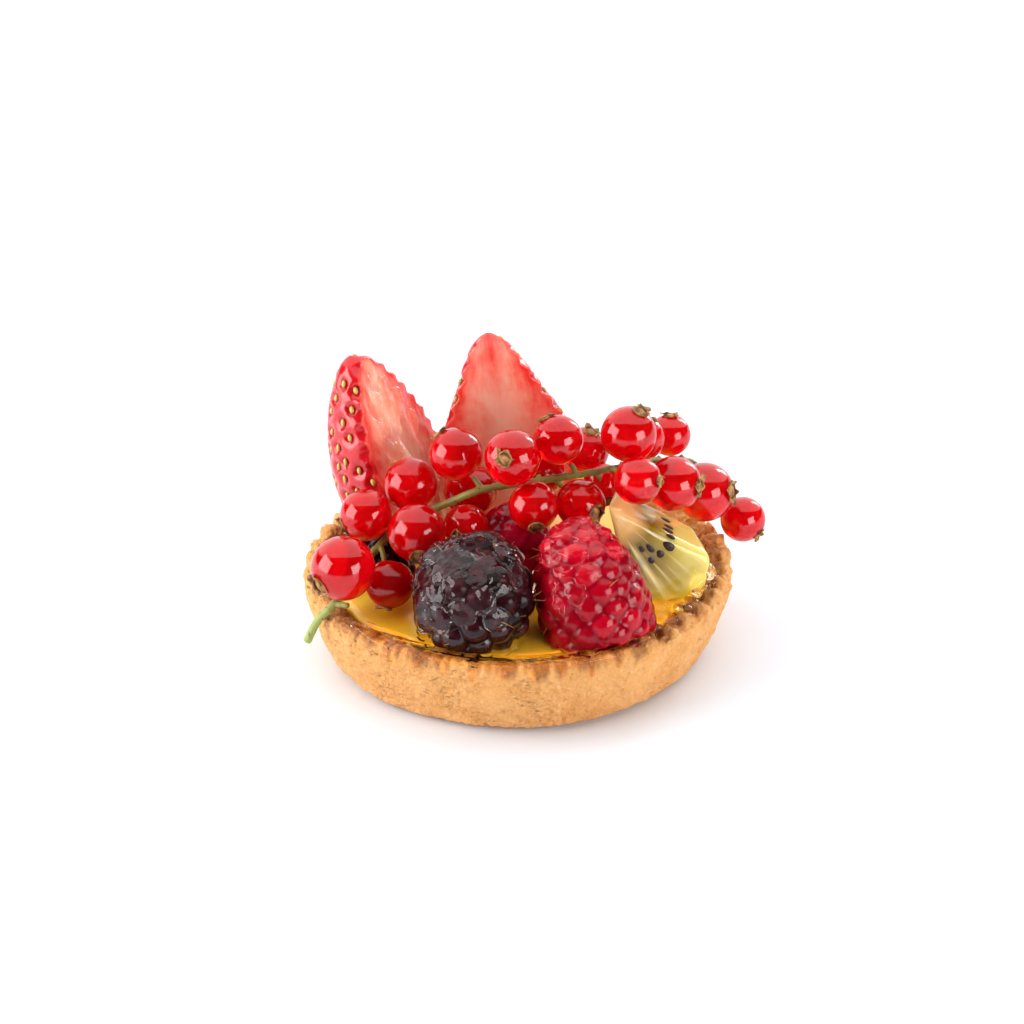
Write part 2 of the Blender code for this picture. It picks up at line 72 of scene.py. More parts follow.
# %% Sizes of the shell and the fruit
TART_RADIUS = 37.5 * MM
TART_HEIGHT = 15.3 * MM
BASE_RADIUS = 33.2 * MM
BASE_EDGE = 1.0 * MM
WALL_BULGE = 0.5 * MM
RIM_WIDTH = 4.5 * MM
FLOOR_THICKNESS = 3.8 * MM
FLOOR_RADIUS = 29.6 * MM
FLUTES = 46
FLUTE_DEPTH = 1.2 * MM
FLUTE_NOTCH = 0.6 * MM
FLUTE_START = 13.2 * MM
CUSTARD_TOP = 13.8 * MM
GAP = 0.3 * MM
FRUIT_FLOOR = CUSTARD_TOP + GAP
BRAMBLE_RADIUS = 9.1 * MM
BRAMBLE_LENGTH = 17.8 * MM
RASPBERRY_LENGTH = 19.8 * MM
RASPBERRY_RADIUS = 9.3 * MM
DRUPELET_RADIUS = 2.15 * MM
STRAWBERRY_LENGTH = 38.5 * MM
STRAWBERRY_RADIUS = 12.3 * MM
STRAWBERRY_OFFSET = 2.4 * MM
KIWI_RADIUS = 22.6 * MM
KIWI_THICKNESS = 9.0 * MM
KIWI_EDGE = 0.8 * MM
print("the rim's ridges are", round(math.tau * TART_RADIUS / FLUTES / MM, 1), "mm apart")

# %% [markdown]
# ## Small helpers for shapes
# Most pieces go the same way: a bmesh is shaped with operators, becomes an object, gets a modifier such as a voxel
# remesh, and is then frozen so that its points can be pushed by rules for dimples and crumb.
# Every finished object sits at the origin and keeps its place in its mesh.

# %% Helpers: object, freeze, points and attributes
def new_piece(name, shape, *finishes):
    """Turns a bmesh into a smooth object with its materials."""
    mesh = bpy.data.meshes.new(name)
    shape.to_mesh(mesh)
    shape.free()
    for finish in finishes:
        mesh.materials.append(finish)
    mesh.shade_smooth()
    piece = bpy.data.objects.new(name, mesh)
    bpy.context.scene.collection.objects.link(piece)
    return piece


def freeze(piece):
    """Makes the result of the piece's modifiers its real mesh."""
    bpy.context.view_layer.update()
    evaluated = piece.evaluated_get(bpy.context.evaluated_depsgraph_get())
    mesh = bpy.data.meshes.new_from_object(evaluated)
    old = piece.data
    materials = list(old.materials)
    piece.modifiers.clear()
    piece.data = mesh
    bpy.data.meshes.remove(old)
    if not mesh.materials:
        for material in materials:
            mesh.materials.append(material)
    mesh.shade_smooth()


def one_skin(piece, voxel):
    """Melts overlapping shapes into one closed skin of small even faces."""
    remesh = piece.modifiers.new("One skin", "REMESH")
    remesh.mode = "VOXEL"
    remesh.voxel_size = voxel
    remesh.use_smooth_shade = True
    freeze(piece)


def points_of(piece):
    flat = np.zeros(len(piece.data.vertices) * 3)
    piece.data.vertices.foreach_get("co", flat)
    return flat.reshape(-1, 3)


def normals_of(piece):
    return np.array([vertex.normal for vertex in piece.data.vertices])


def place_points(piece, points):
    piece.data.vertices.foreach_set("co", np.asarray(points, float).ravel())
    piece.data.update()


def note(piece, name, values):
    """Keeps one number or one vector a point, for a material to read."""
    values = np.asarray(values, float)
    kind = "FLOAT" if values.ndim == 1 else "FLOAT_VECTOR"
    layer = piece.data.attributes.new(name, kind, "POINT")
    layer.data.foreach_set("value" if values.ndim == 1 else "vector", values.ravel())


def smooth_points(piece, rounds, strength=0.5):
    """Lets each point drift to the middle of its neighbours."""
    drift = piece.modifiers.new("Drift", "SMOOTH")
    drift.factor = strength
    drift.iterations = rounds
    freeze(piece)


def join_into(piece, extra, slot_index):
    """Adds a bmesh to a finished piece, painted with another of its materials."""
    for face in extra.faces:
        face.material_index = slot_index
        face.smooth = True
    whole = bmesh.new()
    whole.from_mesh(piece.data)
    added = bpy.data.meshes.new("added")
    extra.to_mesh(added)
    extra.free()
    whole.from_mesh(added)
    whole.to_mesh(piece.data)
    whole.free()
    bpy.data.meshes.remove(added)


def settle_on_tart(piece, slot, *nodes):
    """Says what the piece stands for, and lets it ride on the tart."""
    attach(piece, "root")
    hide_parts(*nodes)
    triangles = sum(len(face.vertices) - 2 for face in piece.data.polygons)
    print(piece.name, "has", triangles, "triangles and stands for", ", ".join(nodes))


def smooth_step(value):
    value = min(1.0, max(0.0, value))
    return value * value * (3.0 - 2.0 * value)


# %% [markdown]
# ## Small helpers for materials
# A finish is one Principled shader with a few textures in front of it. All the textures read Object
# coordinates, which are metres here, so a scale of 500 gives features of about 2 mm. A number that is the same
# all over a surface is set on the shader itself.

# %% Helper: a finish and its nodes
class Finish:
    """A material's nodes, with short calls for the few kinds that food needs."""

    def __init__(self, name, **sockets):
        self.material = bpy.data.materials.new(name)
        self.material.use_nodes = True
        self.nodes = self.material.node_tree.nodes
        self.links = self.material.node_tree.links
        self.shader = self.nodes["Principled BSDF"]
        self.place = self.nodes.new("ShaderNodeTexCoord").outputs["Object"]
        for socket, value in sockets.items():
            self.shader.inputs[socket.replace("_", " ")].default_value = value

    def feed(self, socket, value):
        if isinstance(value, bpy.types.NodeSocket):
            self.links.new(value, socket)
        else:
            socket.default_value = value

    def grain(self, scale, detail=3.0, rough=0.55, stretch=None, coords=None, distortion=0.0):
        """Soft uneven noise from 0 to 1."""
        place = coords or self.place
        if stretch:
            mapping = self.nodes.new("ShaderNodeMapping")
            mapping.inputs["Scale"].default_value = stretch
            self.links.new(place, mapping.inputs["Vector"])
            place = mapping.outputs["Vector"]
        texture = self.nodes.new("ShaderNodeTexNoise")
        self.links.new(place, texture.inputs["Vector"])
        texture.inputs["Scale"].default_value = scale
        texture.inputs["Detail"].default_value = detail
        texture.inputs["Roughness"].default_value = rough
        texture.inputs["Distortion"].default_value = distortion
        return texture.outputs["Fac"]

    def cells(self, scale, feature="F1", coords=None, randomness=1.0):
        """Distance to the nearest of many scattered points."""
        texture = self.nodes.new("ShaderNodeTexVoronoi")
        texture.feature = feature
        self.links.new(coords or self.place, texture.inputs["Vector"])
        texture.inputs["Scale"].default_value = scale
        texture.inputs["Randomness"].default_value = randomness
        return texture.outputs["Distance"]

    def attribute(self, name, output="Fac"):
        reader = self.nodes.new("ShaderNodeAttribute")
        reader.attribute_name = name
        return reader.outputs[output]

    def part(self, vector, axis):
        split = self.nodes.new("ShaderNodeSeparateXYZ")
        self.links.new(vector, split.inputs["Vector"])
        return split.outputs[axis]

    def ranged(self, value, low, high, to_low=0.0, to_high=1.0):
        """Turns one range of a value into another, and stops at its ends."""
        node = self.nodes.new("ShaderNodeMapRange")
        node.clamp = True
        self.links.new(value, node.inputs["Value"])
        node.inputs["From Min"].default_value = low
        node.inputs["From Max"].default_value = high
        node.inputs["To Min"].default_value = to_low
        node.inputs["To Max"].default_value = to_high
        return node.outputs["Result"]

    def sum(self, kind, first, second):
        node = self.nodes.new("ShaderNodeMath")
        node.operation = kind
        self.feed(node.inputs[0], first)
        self.feed(node.inputs[1], second)
        return node.outputs["Value"]

    def blend(self, share, first, second, kind="MIX"):
        """Mixes two colours by a share from 0 to 1."""
        node = self.nodes.new("ShaderNodeMix")
        node.data_type = "RGBA"
        node.blend_type = kind
        sockets = {socket.identifier: socket for socket in node.inputs}
        self.feed(sockets["Factor_Float"], share)
        for socket, value in (("A_Color", first), ("B_Color", second)):
            self.feed(sockets[socket], value if isinstance(value, bpy.types.NodeSocket) else (*value, 1.0))
        return [socket for socket in node.outputs if socket.identifier == "Result_Color"][0]

    def colour(self, value):
        self.feed(self.shader.inputs["Base Color"], value)

    def rough(self, value):
        self.feed(self.shader.inputs["Roughness"], value)

    def bump(self, height, depth, strength=1.0, coat=False):
        """Shades the surface as if it rose by the height, over another bump if there is one."""
        node = self.nodes.new("ShaderNodeBump")
        node.inputs["Strength"].default_value = strength
        node.inputs["Distance"].default_value = depth
        self.links.new(height, node.inputs["Height"])
        before = self.shader.inputs["Normal"].links
        if before:
            self.links.new(before[0].from_socket, node.inputs["Normal"])
        self.links.new(node.outputs["Normal"], self.shader.inputs["Normal"])
        if coat:
            self.links.new(node.outputs["Normal"], self.shader.inputs["Coat Normal"])


# %% [markdown]
# ## Camera, floor and light
# The tart was seen from a little above, about 28 degrees, with a long lens. The light is a studio's: a tall
# window-like box on the left puts the bright patch on each berry, a wide soft sky, tipped a little to the back,
# lights the tops, and a card on the right and a strip behind keep the far sides from going black.

# %% Camera
CAMERA_TILT = math.radians(28.5)
CAMERA_DISTANCE = 0.6
CAMERA_AIM = Vector((-0.0009, 0.0, 0.0245))
PIXELS_PER_METRE = 5750.0
PICTURE_SIDE = 1024
SENSOR = 36.0
scene = bpy.context.scene
view_line = Vector((0.0, math.cos(CAMERA_TILT), -math.sin(CAMERA_TILT)))
lens = bpy.data.cameras.new("camera")
lens.sensor_width = SENSOR
lens.lens = SENSOR * PIXELS_PER_METRE * CAMERA_DISTANCE / PICTURE_SIDE
lens.clip_start = 0.01
camera = bpy.data.objects.new("camera", lens)
camera.location = CAMERA_AIM - view_line * CAMERA_DISTANCE
camera.rotation_euler = view_line.to_track_quat("-Z", "Y").to_euler()
scene.collection.objects.link(camera)
scene.camera = camera
scene.view_settings.view_transform = "Standard"
print("lens in mm:", round(lens.lens, 1))

# %% Lights
def soft_box(name, place, aim, width, height, brightness, tint=(1.0, 1.0, 1.0)):
    """A panel of even brightness: its power follows from its area."""
    light = bpy.data.lights.new(name, "AREA")
    light.shape = "RECTANGLE"
    light.size = width
    light.size_y = height
    light.energy = brightness * math.pi * width * height
    light.color = tint
    lamp = bpy.data.objects.new(name, light)
    lamp.location = Vector(place)
    lamp.rotation_euler = (Vector(aim) - lamp.location).to_track_quat("-Z", "Y").to_euler()
    scene.collection.objects.link(lamp)
    return lamp


middle = (0.0, 0.0, 0.02)
soft_box("window", (-0.36, -0.10, 0.15), middle, 0.34, 0.28, 6.3)
soft_box("right_card", (0.31, -0.27, 0.13), middle, 0.26, 0.22, 7.0)
soft_box("back_strip", (0.30, 0.42, 0.16), middle, 0.10, 0.26, 8.0)
SKY_SPREAD = math.radians(120.0)
SKY_LEAN = math.radians(37.0)
SKY_BRIGHTNESS = 1.6
sky = bpy.data.lights.new("overhead", "SUN")
sky.angle = SKY_SPREAD
sky.energy = SKY_BRIGHTNESS * math.pi * math.sin(SKY_SPREAD / 2) ** 2
overhead = bpy.data.objects.new("overhead", sky)
overhead.rotation_euler = Vector((0.0, -math.sin(SKY_LEAN), -math.cos(SKY_LEAN))).to_track_quat("-Z", "Y").to_euler()
scene.collection.objects.link(overhead)
world = bpy.data.worlds.new("studio")
world.use_nodes = True
world.node_tree.nodes["Background"].inputs["Color"].default_value = (0.9, 0.95, 1.0, 1.0)
world.node_tree.nodes["Background"].inputs["Strength"].default_value = 0.05
scene.world = world

# %% Floor
floor_shape = bmesh.new()
bmesh.ops.create_grid(floor_shape, x_segments=1, y_segments=1, size=3.0)
bmesh.ops.translate(floor_shape, verts=floor_shape.verts, vec=(0.0, 0.0, -0.02 * MM))
paper = Finish("white_paper", Roughness=0.9)
paper.colour(paper.blend(paper.grain(30.0), (0.77, 0.82, 0.88), (0.79, 0.84, 0.90)))
floor = new_piece("floor", floor_shape, paper.material)
floor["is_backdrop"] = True
print("floor laid")

# %% [markdown]
# ## The shortcrust shell
# Shortcrust is pressed into a tin by thumb, so the rim is a row of soft ridges, all a little different, and the
# wall is sandy, with pits and short cracks where the dough dried. The shell is a turned shape, so a profile is
# spun round the middle. The ridges, pits and cracks are then pushed into its points, so that they also show at
# the outline, and only the finest sand is left to the material's bump.

# %% Profile of the shell
def wobble(angle):
    """How far the hand-pressed shell strays from a true circle at an angle."""
    waves = 0.32 * math.sin(2 * angle + 0.6) + 0.20 * math.sin(5 * angle + 2.0)
    return (waves + 0.10 * math.sin(9 * angle + 4.0)) * MM


def inner_radius(height):
    """The shell's inner wall widens from its floor to its rim."""
    rim_inside = TART_RADIUS - RIM_WIDTH
    share = (height - FLOOR_THICKNESS) / (CUSTARD_TOP - FLOOR_THICKNESS)
    return FLOOR_RADIUS + (rim_inside - FLOOR_RADIUS) * share


def shell_profile():
    shoulder = 13.9 * MM
    points = [(0.0, 0.0), (BASE_RADIUS - BASE_EDGE, 0.0), (BASE_RADIUS, BASE_EDGE)]
    for share in (0.36, 0.68):
        radius = BASE_RADIUS + (TART_RADIUS - BASE_RADIUS) * share + WALL_BULGE * math.sin(math.pi * share)
        points.append((radius, BASE_EDGE + (shoulder - BASE_EDGE) * share))
    points.append((TART_RADIUS, shoulder))
    points.append((TART_RADIUS - 0.3 * MM, TART_HEIGHT - 0.4 * MM))
    points.append((TART_RADIUS - 1.6 * MM, TART_HEIGHT + 0.2 * MM))
    points.append((TART_RADIUS - 3.4 * MM, TART_HEIGHT - 0.1 * MM))
    points.append((TART_RADIUS - RIM_WIDTH + 0.1 * MM, TART_HEIGHT - 0.9 * MM))
    points.append((inner_radius(FLUTE_START), FLUTE_START))
    points.append((inner_radius(FLOOR_THICKNESS), FLOOR_THICKNESS))
    points.append((0.0, FLOOR_THICKNESS))
    return points


def spun(points, slices, steps, fine_from=1e9, fine=0.35 * MM, rounding=0):
    """Spins a profile of (radius, height) through one slice, then repeats that slice once round."""
    shape = bmesh.new()
    ring = [shape.verts.new((radius, 0.0, height)) for radius, height in points]
    line = [shape.edges.new(pair) for pair in zip(ring, ring[1:])]
    for edge in line:
        if min(vert.co.x for vert in edge.verts) > fine_from and edge.calc_length() > fine:
            bmesh.ops.subdivide_edges(shape, edges=[edge], cuts=int(edge.calc_length() / fine))
    for _ in range(rounding):
        inner = [vert for vert in shape.verts if len(vert.link_edges) == 2 and vert.co.x > max(fine_from, 0.0)]
        bmesh.ops.smooth_vert(shape, verts=inner, factor=0.5, use_axis_x=True, use_axis_z=True)
    slice_angle = math.tau / slices
    bmesh.ops.spin(
        shape, geom=shape.verts[:] + shape.edges[:], cent=(0, 0, 0), axis=UP, angle=slice_angle, steps=steps
    )
    bmesh.ops.spin(
        shape, geom=shape.verts[:] + shape.edges[:] + shape.faces[:], cent=(0, 0, 0), axis=UP,
        angle=math.tau - slice_angle, steps=slices - 1, use_duplicate=True,
    )
    bmesh.ops.remove_doubles(shape, verts=shape.verts, dist=0.01 * MM)
    bmesh.ops.recalc_face_normals(shape, faces=shape.faces)
    return shape


crust_shape = spun(shell_profile(), FLUTES, 15, fine_from=FLOOR_RADIUS - 0.1 * MM, fine=0.36 * MM, rounding=6)
print("shell before pressing:", len(crust_shape.verts), "points")

# %% [markdown]
# The ridges: the solid's rim has one groove for each of its 46 ridges, so the same draws of depth are used. On
# the food the grooves run on a little way down the outer wall, and towards the middle they are square dents.

# %% Press the ridges
draw = random.Random(5)
DEPTHS = [draw.uniform(0.65, 1.25) for _ in range(FLUTES)]
draw = random.Random(11)
SKEWS = [draw.uniform(-0.16, 0.16) for _ in range(FLUTES)]
WALL_GROOVE = 0.5 * MM
WALL_GROOVE_START = 10.8 * MM


def groove_at(angle):
    """How deep into a groove an angle is, from 0 on a ridge to 1, and that groove's number."""
    flute = (angle % math.tau) / math.tau * FLUTES
    number = int(round(flute)) % FLUTES
    return 0.5 + 0.5 * math.cos(math.tau * (flute + SKEWS[number] * math.sin(math.tau * flute))), number


def front_share(angle):
    """1 along the front of the rim, where jelly has filled the grooves, and 0 elsewhere."""
    return smooth_step((math.cos(angle + math.radians(100.0)) - 0.50) / 0.28)


def press_ridges(shape):
    for vertex in shape.verts:
        radius = math.hypot(vertex.co.x, vertex.co.y)
        if vertex.co.z < WALL_GROOVE_START or radius < FLOOR_RADIUS:
            continue
        angle = math.atan2(vertex.co.y, vertex.co.x)
        groove, number = groove_at(angle)
        depth = DEPTHS[number] * (1.0 - 0.72 * front_share(angle))
        rise = smooth_step((vertex.co.z - FLUTE_START) / (TART_HEIGHT - FLUTE_START))
        inside = smooth_step((TART_RADIUS - 1.9 * MM - radius) / (1.2 * MM))
        square = groove + (smooth_step(groove * 1.6 - 0.3) - groove) * inside
        outside = smooth_step((radius - (TART_RADIUS - 2.0 * MM)) / (2.0 * MM))
        wall = smooth_step((vertex.co.z - WALL_GROOVE_START) / (3.2 * MM)) * outside
        inward = (FLUTE_NOTCH * rise * outside + WALL_GROOVE * wall) * groove * depth / radius
        vertex.co.z -= FLUTE_DEPTH * square * depth * rise
        sag = smooth_step((TART_RADIUS - 0.6 * MM - radius) / (3.2 * MM)) * smooth_step((radius - 32.0 * MM) / MM)
        vertex.co.z -= 1.0 * MM * sag * front_share(angle) * rise
        vertex.co.x -= vertex.co.x * inward
        vertex.co.y -= vertex.co.y * inward


press_ridges(crust_shape)
print("deepest groove in mm:", round(max(DEPTHS) * FLUTE_DEPTH / MM, 2))

# %% [markdown]
# The crumb: three sizes of unevenness are added. Broad lumps bend the wall, small ones make it sandy, and the
# pits and cracks are cut only in patches, because dough that was pressed hard stays closed.

# %% Crumb, pits and cracks
def crumb_depth(place, radius, height):
    """How far a point of the shell moves out or in, in metres."""
    lumps = noise.fractal(place * 210.0, 1.0, 2.0, 3) * 0.26
    sand = noise.fractal(place * 800.0, 0.8, 2.2, 3) * 0.18
    on_rim = smooth_step((height - 12.5 * MM) / (2.0 * MM)) * smooth_step((radius - 31.0 * MM) / (2.0 * MM))
    right = smooth_step((place.x - 8.0 * MM) / (18.0 * MM))
    crags = noise.fractal(place * 430.0 + Vector((3.0, 1.0, 2.0)), 0.7, 2.1, 3) * 0.85 * on_rim * (0.25 + 0.75 * right)
    where = noise.noise(place * 160.0 + Vector((9.0, 4.0, 7.0)))
    pit_near = noise.voronoi(place * 620.0)[0][0]
    pit = -0.34 * smooth_step((0.30 - pit_near) / 0.22) * smooth_step((where + 0.05) / 0.3)
    flat = Vector((place.x, place.y, place.z * 2.6)) * 330.0
    near = noise.voronoi(flat + noise.noise_vector(place * 500.0) * 0.35)[0]
    crack = -0.36 * smooth_step((0.085 - (near[1] - near[0])) / 0.085) * smooth_step((0.12 - where) / 0.25)
    return (lumps + sand + crags + pit + crack) * MM


def roughen(shape):
    shape.normal_update()
    moves = []
    for vertex in shape.verts:
        radius = math.hypot(vertex.co.x, vertex.co.y)
        outer = smooth_step((radius - 30.0 * MM) / (2.0 * MM)) * smooth_step((vertex.co.z - 0.2 * MM) / (1.2 * MM))
        moves.append(vertex.normal * crumb_depth(vertex.co, radius, vertex.co.z) * outer if outer > 0.0 else None)
    for vertex, move in zip(shape.verts, moves):
        if move:
            vertex.co += move
        radius = math.hypot(vertex.co.x, vertex.co.y)
        if radius > 1.0 * MM:
            push = wobble(math.atan2(vertex.co.y, vertex.co.x)) / TART_RADIUS
            vertex.co.x += vertex.co.x * push
            vertex.co.y += vertex.co.y * push
        vertex.co.z = max(0.0, vertex.co.z)


roughen(crust_shape)
print("shell after pressing:", round(max(vert.co.z for vert in crust_shape.verts) / MM, 2), "mm high")

# %% [markdown]
# The baked colour: pale straw in the dough and golden on what stands out, with small dark specks of painted shade for
# tiny pin-holes and thin dark dashes of painted shade in the short cracks. Where clear jelly has run over the front of
# the rim and into the crust, the crust turns to dark amber and shines. A number for each point says how much jelly is
# in the crust, and it carries painted shade as well: it is higher in the grooves, and its edge dips at each groove down
# the outer wall, partly as jelly runs down where there is a channel and partly as painted shade of the grooves below
# the rim.

# %% Shortcrust finish
def jelly_and_groove_shade(place):
    """From 0, dry crust, to 1, full of jelly, with painted shade as well: it rises in the grooves and runs further down
    the grooves of the outer wall.
    """
    radius = math.hypot(place.x, place.y)
    angle = math.atan2(place.y, place.x)
    groove, number = groove_at(angle)
    front = front_share(angle)
    left = smooth_step((math.cos(angle - math.radians(205.0)) - 0.45) / 0.3)
    along = Vector((math.cos(angle), math.sin(angle), 0.0))
    # Painted shade as well as jelly: the edge dips further at each groove, so the dark amber runs down the grooves
    # below the front rim.
    drip_and_shade = (1.2 + 0.9 * groove * DEPTHS[number] + 2.4 * noise.noise(along * 14.0) + 2.0 * noise.noise(along * 40.0)) * MM
    outside = smooth_step((radius - 35.0 * MM) / (1.5 * MM))
    low_edge = 14.6 * MM - drip_and_shade * outside
    on_front = front * smooth_step((place.z - low_edge) / ((0.6 + 2.0 * outside) * MM)) * (1.0 - 0.12 * outside)
    inner = smooth_step((35.2 * MM - radius) / (0.9 * MM)) * smooth_step((place.z - 11.0 * MM) / (1.0 * MM))
    right = smooth_step((math.cos(angle - math.radians(-22.0)) - 0.72) / 0.2)
    on_right = right * smooth_step((36.6 * MM - radius) / (1.4 * MM)) * smooth_step((place.z - 12.6 * MM) / (1.0 * MM))
    # Higher in the grooves, here and in the line below: partly jelly lying there, partly painted shade.
    patchy = 0.55 + 0.15 * groove + 0.4 * noise.noise(place * 260.0)
    return min(1.0, max(on_front, inner * max(front, left) * (0.5 + 0.5 * groove), on_right * patchy))


shortcrust = Finish("shortcrust", Roughness=0.78)
lump = shortcrust.grain(170.0, 4.0, 0.6)
sand = shortcrust.grain(1500.0, 3.0, 0.7)
# Painted shade: small dark specks stand in for the shade in tiny pin-holes of the crust.
pinhole_shade = shortcrust.cells(1100.0)
baked = shortcrust.blend(shortcrust.ranged(lump, 0.35, 0.68), (0.90, 0.44, 0.15), (0.76, 0.32, 0.08))
height = shortcrust.part(shortcrust.place, "Z")
baked = shortcrust.blend(shortcrust.ranged(height, 0.004, 0.0155, 0.0, 0.35), baked, (0.82, 0.38, 0.09))
baked = shortcrust.blend(shortcrust.ranged(sand, 0.55, 0.75, 0.0, 0.6), baked, (1.0, 0.72, 0.40))
baked = shortcrust.blend(shortcrust.ranged(pinhole_shade, 0.18, 0.0, 0.0, 0.5), baked, (0.45, 0.19, 0.05))
# Painted shade: thin dark dashes, in patches, darken the short cracks, which the bump below also dents.
dashes = shortcrust.grain(820.0, 3.0, 0.6, stretch=(1.0, 1.0, 2.0))
dash_share = shortcrust.ranged(dashes, 0.60, 0.70)
patches = shortcrust.ranged(shortcrust.grain(130.0, 2.0), 0.46, 0.60, 0.12, 1.0)
dash_share = shortcrust.sum("MULTIPLY", dash_share, patches)
baked = shortcrust.blend(shortcrust.sum("MULTIPLY", dash_share, 0.68), baked, (0.48, 0.19, 0.045))
# This share is partly jelly in the crust and partly painted shade in the grooves; the amber below is the colour it
# paints.
soaked_and_shaded = shortcrust.attribute("jelly_and_shade")
amber = shortcrust.blend(shortcrust.ranged(lump, 0.3, 0.7), (0.42, 0.13, 0.004), (0.20, 0.05, 0.002))
shortcrust.colour(shortcrust.blend(soaked_and_shaded, baked, amber))
shortcrust.rough(shortcrust.ranged(soaked_and_shaded, 0.3, 0.9, 0.78, 0.16))
shortcrust.bump(shortcrust.grain(950.0, 4.0, 0.7), 0.8 * MM, 1.0)
shortcrust.bump(shortcrust.sum("MULTIPLY", dash_share, -1.0), 0.30 * MM, 0.8)
crust = new_piece("crust_baked", crust_shape, shortcrust.material)
note(crust, "jelly_and_shade", [jelly_and_groove_shade(vertex.co) for vertex in crust.data.vertices])
settle_on_tart(crust, "shortcrust", "crust")

# %% [markdown]
# ## The custard
# Baked custard sets with a smooth skin that dips and swells by parts of a millimetre. It is spun like the shell,
# and its top is pushed by slow noise. Light goes a little way into custard, so it gets some subsurface light.

# %% Custard
custard_bottom = FLOOR_THICKNESS + GAP
SIDE_GAP = GAP * 1.3
custard_shape = spun(
    [
        (0.0, custard_bottom),
        (inner_radius(custard_bottom) - SIDE_GAP, custard_bottom),
        (inner_radius(CUSTARD_TOP - 1.2 * MM) - SIDE_GAP, CUSTARD_TOP - 1.2 * MM),
        (inner_radius(CUSTARD_TOP) - SIDE_GAP - 0.4 * MM, CUSTARD_TOP - 0.25 * MM),
        (inner_radius(CUSTARD_TOP) - 2.4 * MM, CUSTARD_TOP),
        (0.0, CUSTARD_TOP),
    ],
    FLUTES, 4, fine_from=-1.0, fine=1.0 * MM, rounding=1,
)
for vertex in custard_shape.verts:
    radius = math.hypot(vertex.co.x, vertex.co.y)
    if vertex.co.z > CUSTARD_TOP - 1.0 * MM:
        vertex.co.z += noise.noise(vertex.co * 90.0) * 0.25 * MM - 0.1 * MM
    if radius > 1.0 * MM:
        push = wobble(math.atan2(vertex.co.y, vertex.co.x)) / TART_RADIUS
        vertex.co.x += vertex.co.x * push
        vertex.co.y += vertex.co.y * push
egg = Finish(
    "custard", Roughness=0.22, Subsurface_Weight=0.35, Subsurface_Radius=(1.0, 0.5, 0.12),
    Subsurface_Scale=2.5 * MM, Coat_Weight=0.15, Coat_Roughness=0.05,
)
egg_cloud = egg.grain(110.0, 3.0)
egg_colour = egg.blend(egg.ranged(egg_cloud, 0.35, 0.7), (1.0, 0.60, 0.04), (1.0, 0.50, 0.02))
egg.colour(egg.blend(egg.ranged(egg.cells(900.0), 0.16, 0.0, 0.0, 0.35), egg_colour, (0.5, 0.18, 0.01)))
egg.bump(egg.grain(260.0, 3.0), 0.25 * MM, 0.5, coat=True)
custard = new_piece("custard_set", custard_shape, egg.material)
settle_on_tart(custard, "custard", "custard")

# %% [markdown]
# ## Berries made of drupelets
# A bramble or a raspberry is a cluster of small juicy beads, called drupelets, round a core. One sphere is made
# for each bead, along a spiral and then shaken up, and a voxel remesh melts them into one skin
# with real creases. Jelly was spooned over this fruit: where it lies thick, the creases are filled and the beads
# keep their tops. That is done by smoothing a copy and keeping it only where it lies outside the first skin.

# %% Beads on an outline
GOLDEN_ANGLE = math.pi * (3.0 - math.sqrt(5.0))


def bramble_outline(length, radius):
    """Half an oval from the flower end to the tip: (height, radius) points."""
    for step in range(25):
        angle = math.pi * step / 24
        yield 0.5 * length * (1.0 - math.cos(angle)), radius * math.sin(angle) ** 0.85


def raspberry_outline(length, radius, cone):
    """A blunt cone, widest a quarter of the way up and slimmer by a share at its tip: (height, radius) points."""
    for step in range(25):
        share = step / 24
        blunt = math.sqrt(max(0.0, 1.0 - share ** 3.2))
        foot = 0.86 + 0.14 * math.sin(0.5 * math.pi * min(1.0, share / 0.25))
        yield length * share, radius * blunt * foot * (1.0 - cone * share)


def drupelets(outline, drupelet, seed):
    """Small spheres spread evenly over an outline along a spiral, as on a pine cone."""
    draw = random.Random(seed)
    pitch = drupelet * 1.72
    area = 0.5 * pitch * pitch
    spheres = []
    for (low, low_radius), (high, high_radius) in zip(outline, outline[1:]):
        for step in range(40):
            share = (step + 0.5) / 40
            ring = max(0.0, low_radius + (high_radius - low_radius) * share - 0.35 * drupelet)
            area += math.tau * ring * math.hypot(high - low, high_radius - low_radius) / 40
            if area < pitch * pitch * 0.87:
                continue
            area -= pitch * pitch * 0.87
            angle = len(spheres) * GOLDEN_ANGLE + draw.uniform(-0.12, 0.12)
            middle = Vector((ring * math.cos(angle), ring * math.sin(angle), low + (high - low) * share))
            spheres.append((middle, drupelet * draw.uniform(0.90, 1.12)))
    return spheres


def unsettle(spheres, outline, drupelet, seed):
    """Shakes the rows up and lets the beads push each other apart again, so that no rings show."""
    draw = random.Random(seed + 50)
    heights = [point[0] for point in outline]
    rings = [point[1] for point in outline]
    middles = [
        middle + Vector([draw.uniform(-1.0, 1.0) for _ in range(3)]) * 0.2 * radius for middle, radius in spheres
    ]
    want = drupelet * 1.66
    for _ in range(10):
        for first, middle in enumerate(middles):
            for other in middles[first + 1:]:
                apart = other - middle
                if 0.0 < apart.length < want:
                    push = apart.normalized() * (want - apart.length) * 0.4
                    other += push
                    middle -= push
        for middle in middles:
            middle.z = min(max(middle.z, heights[1]), heights[-1] - 0.6 * drupelet)
            ring = max(0.2 * drupelet, float(np.interp(middle.z, heights, rings)) - 0.35 * drupelet)
            flat = max(1e-6, math.hypot(middle.x, middle.y))
            if middle.z < 0.88 * heights[-1] or flat > ring:
                middle.x *= ring / flat
                middle.y *= ring / flat
    return [(middle, radius) for middle, (_, radius) in zip(middles, spheres)]


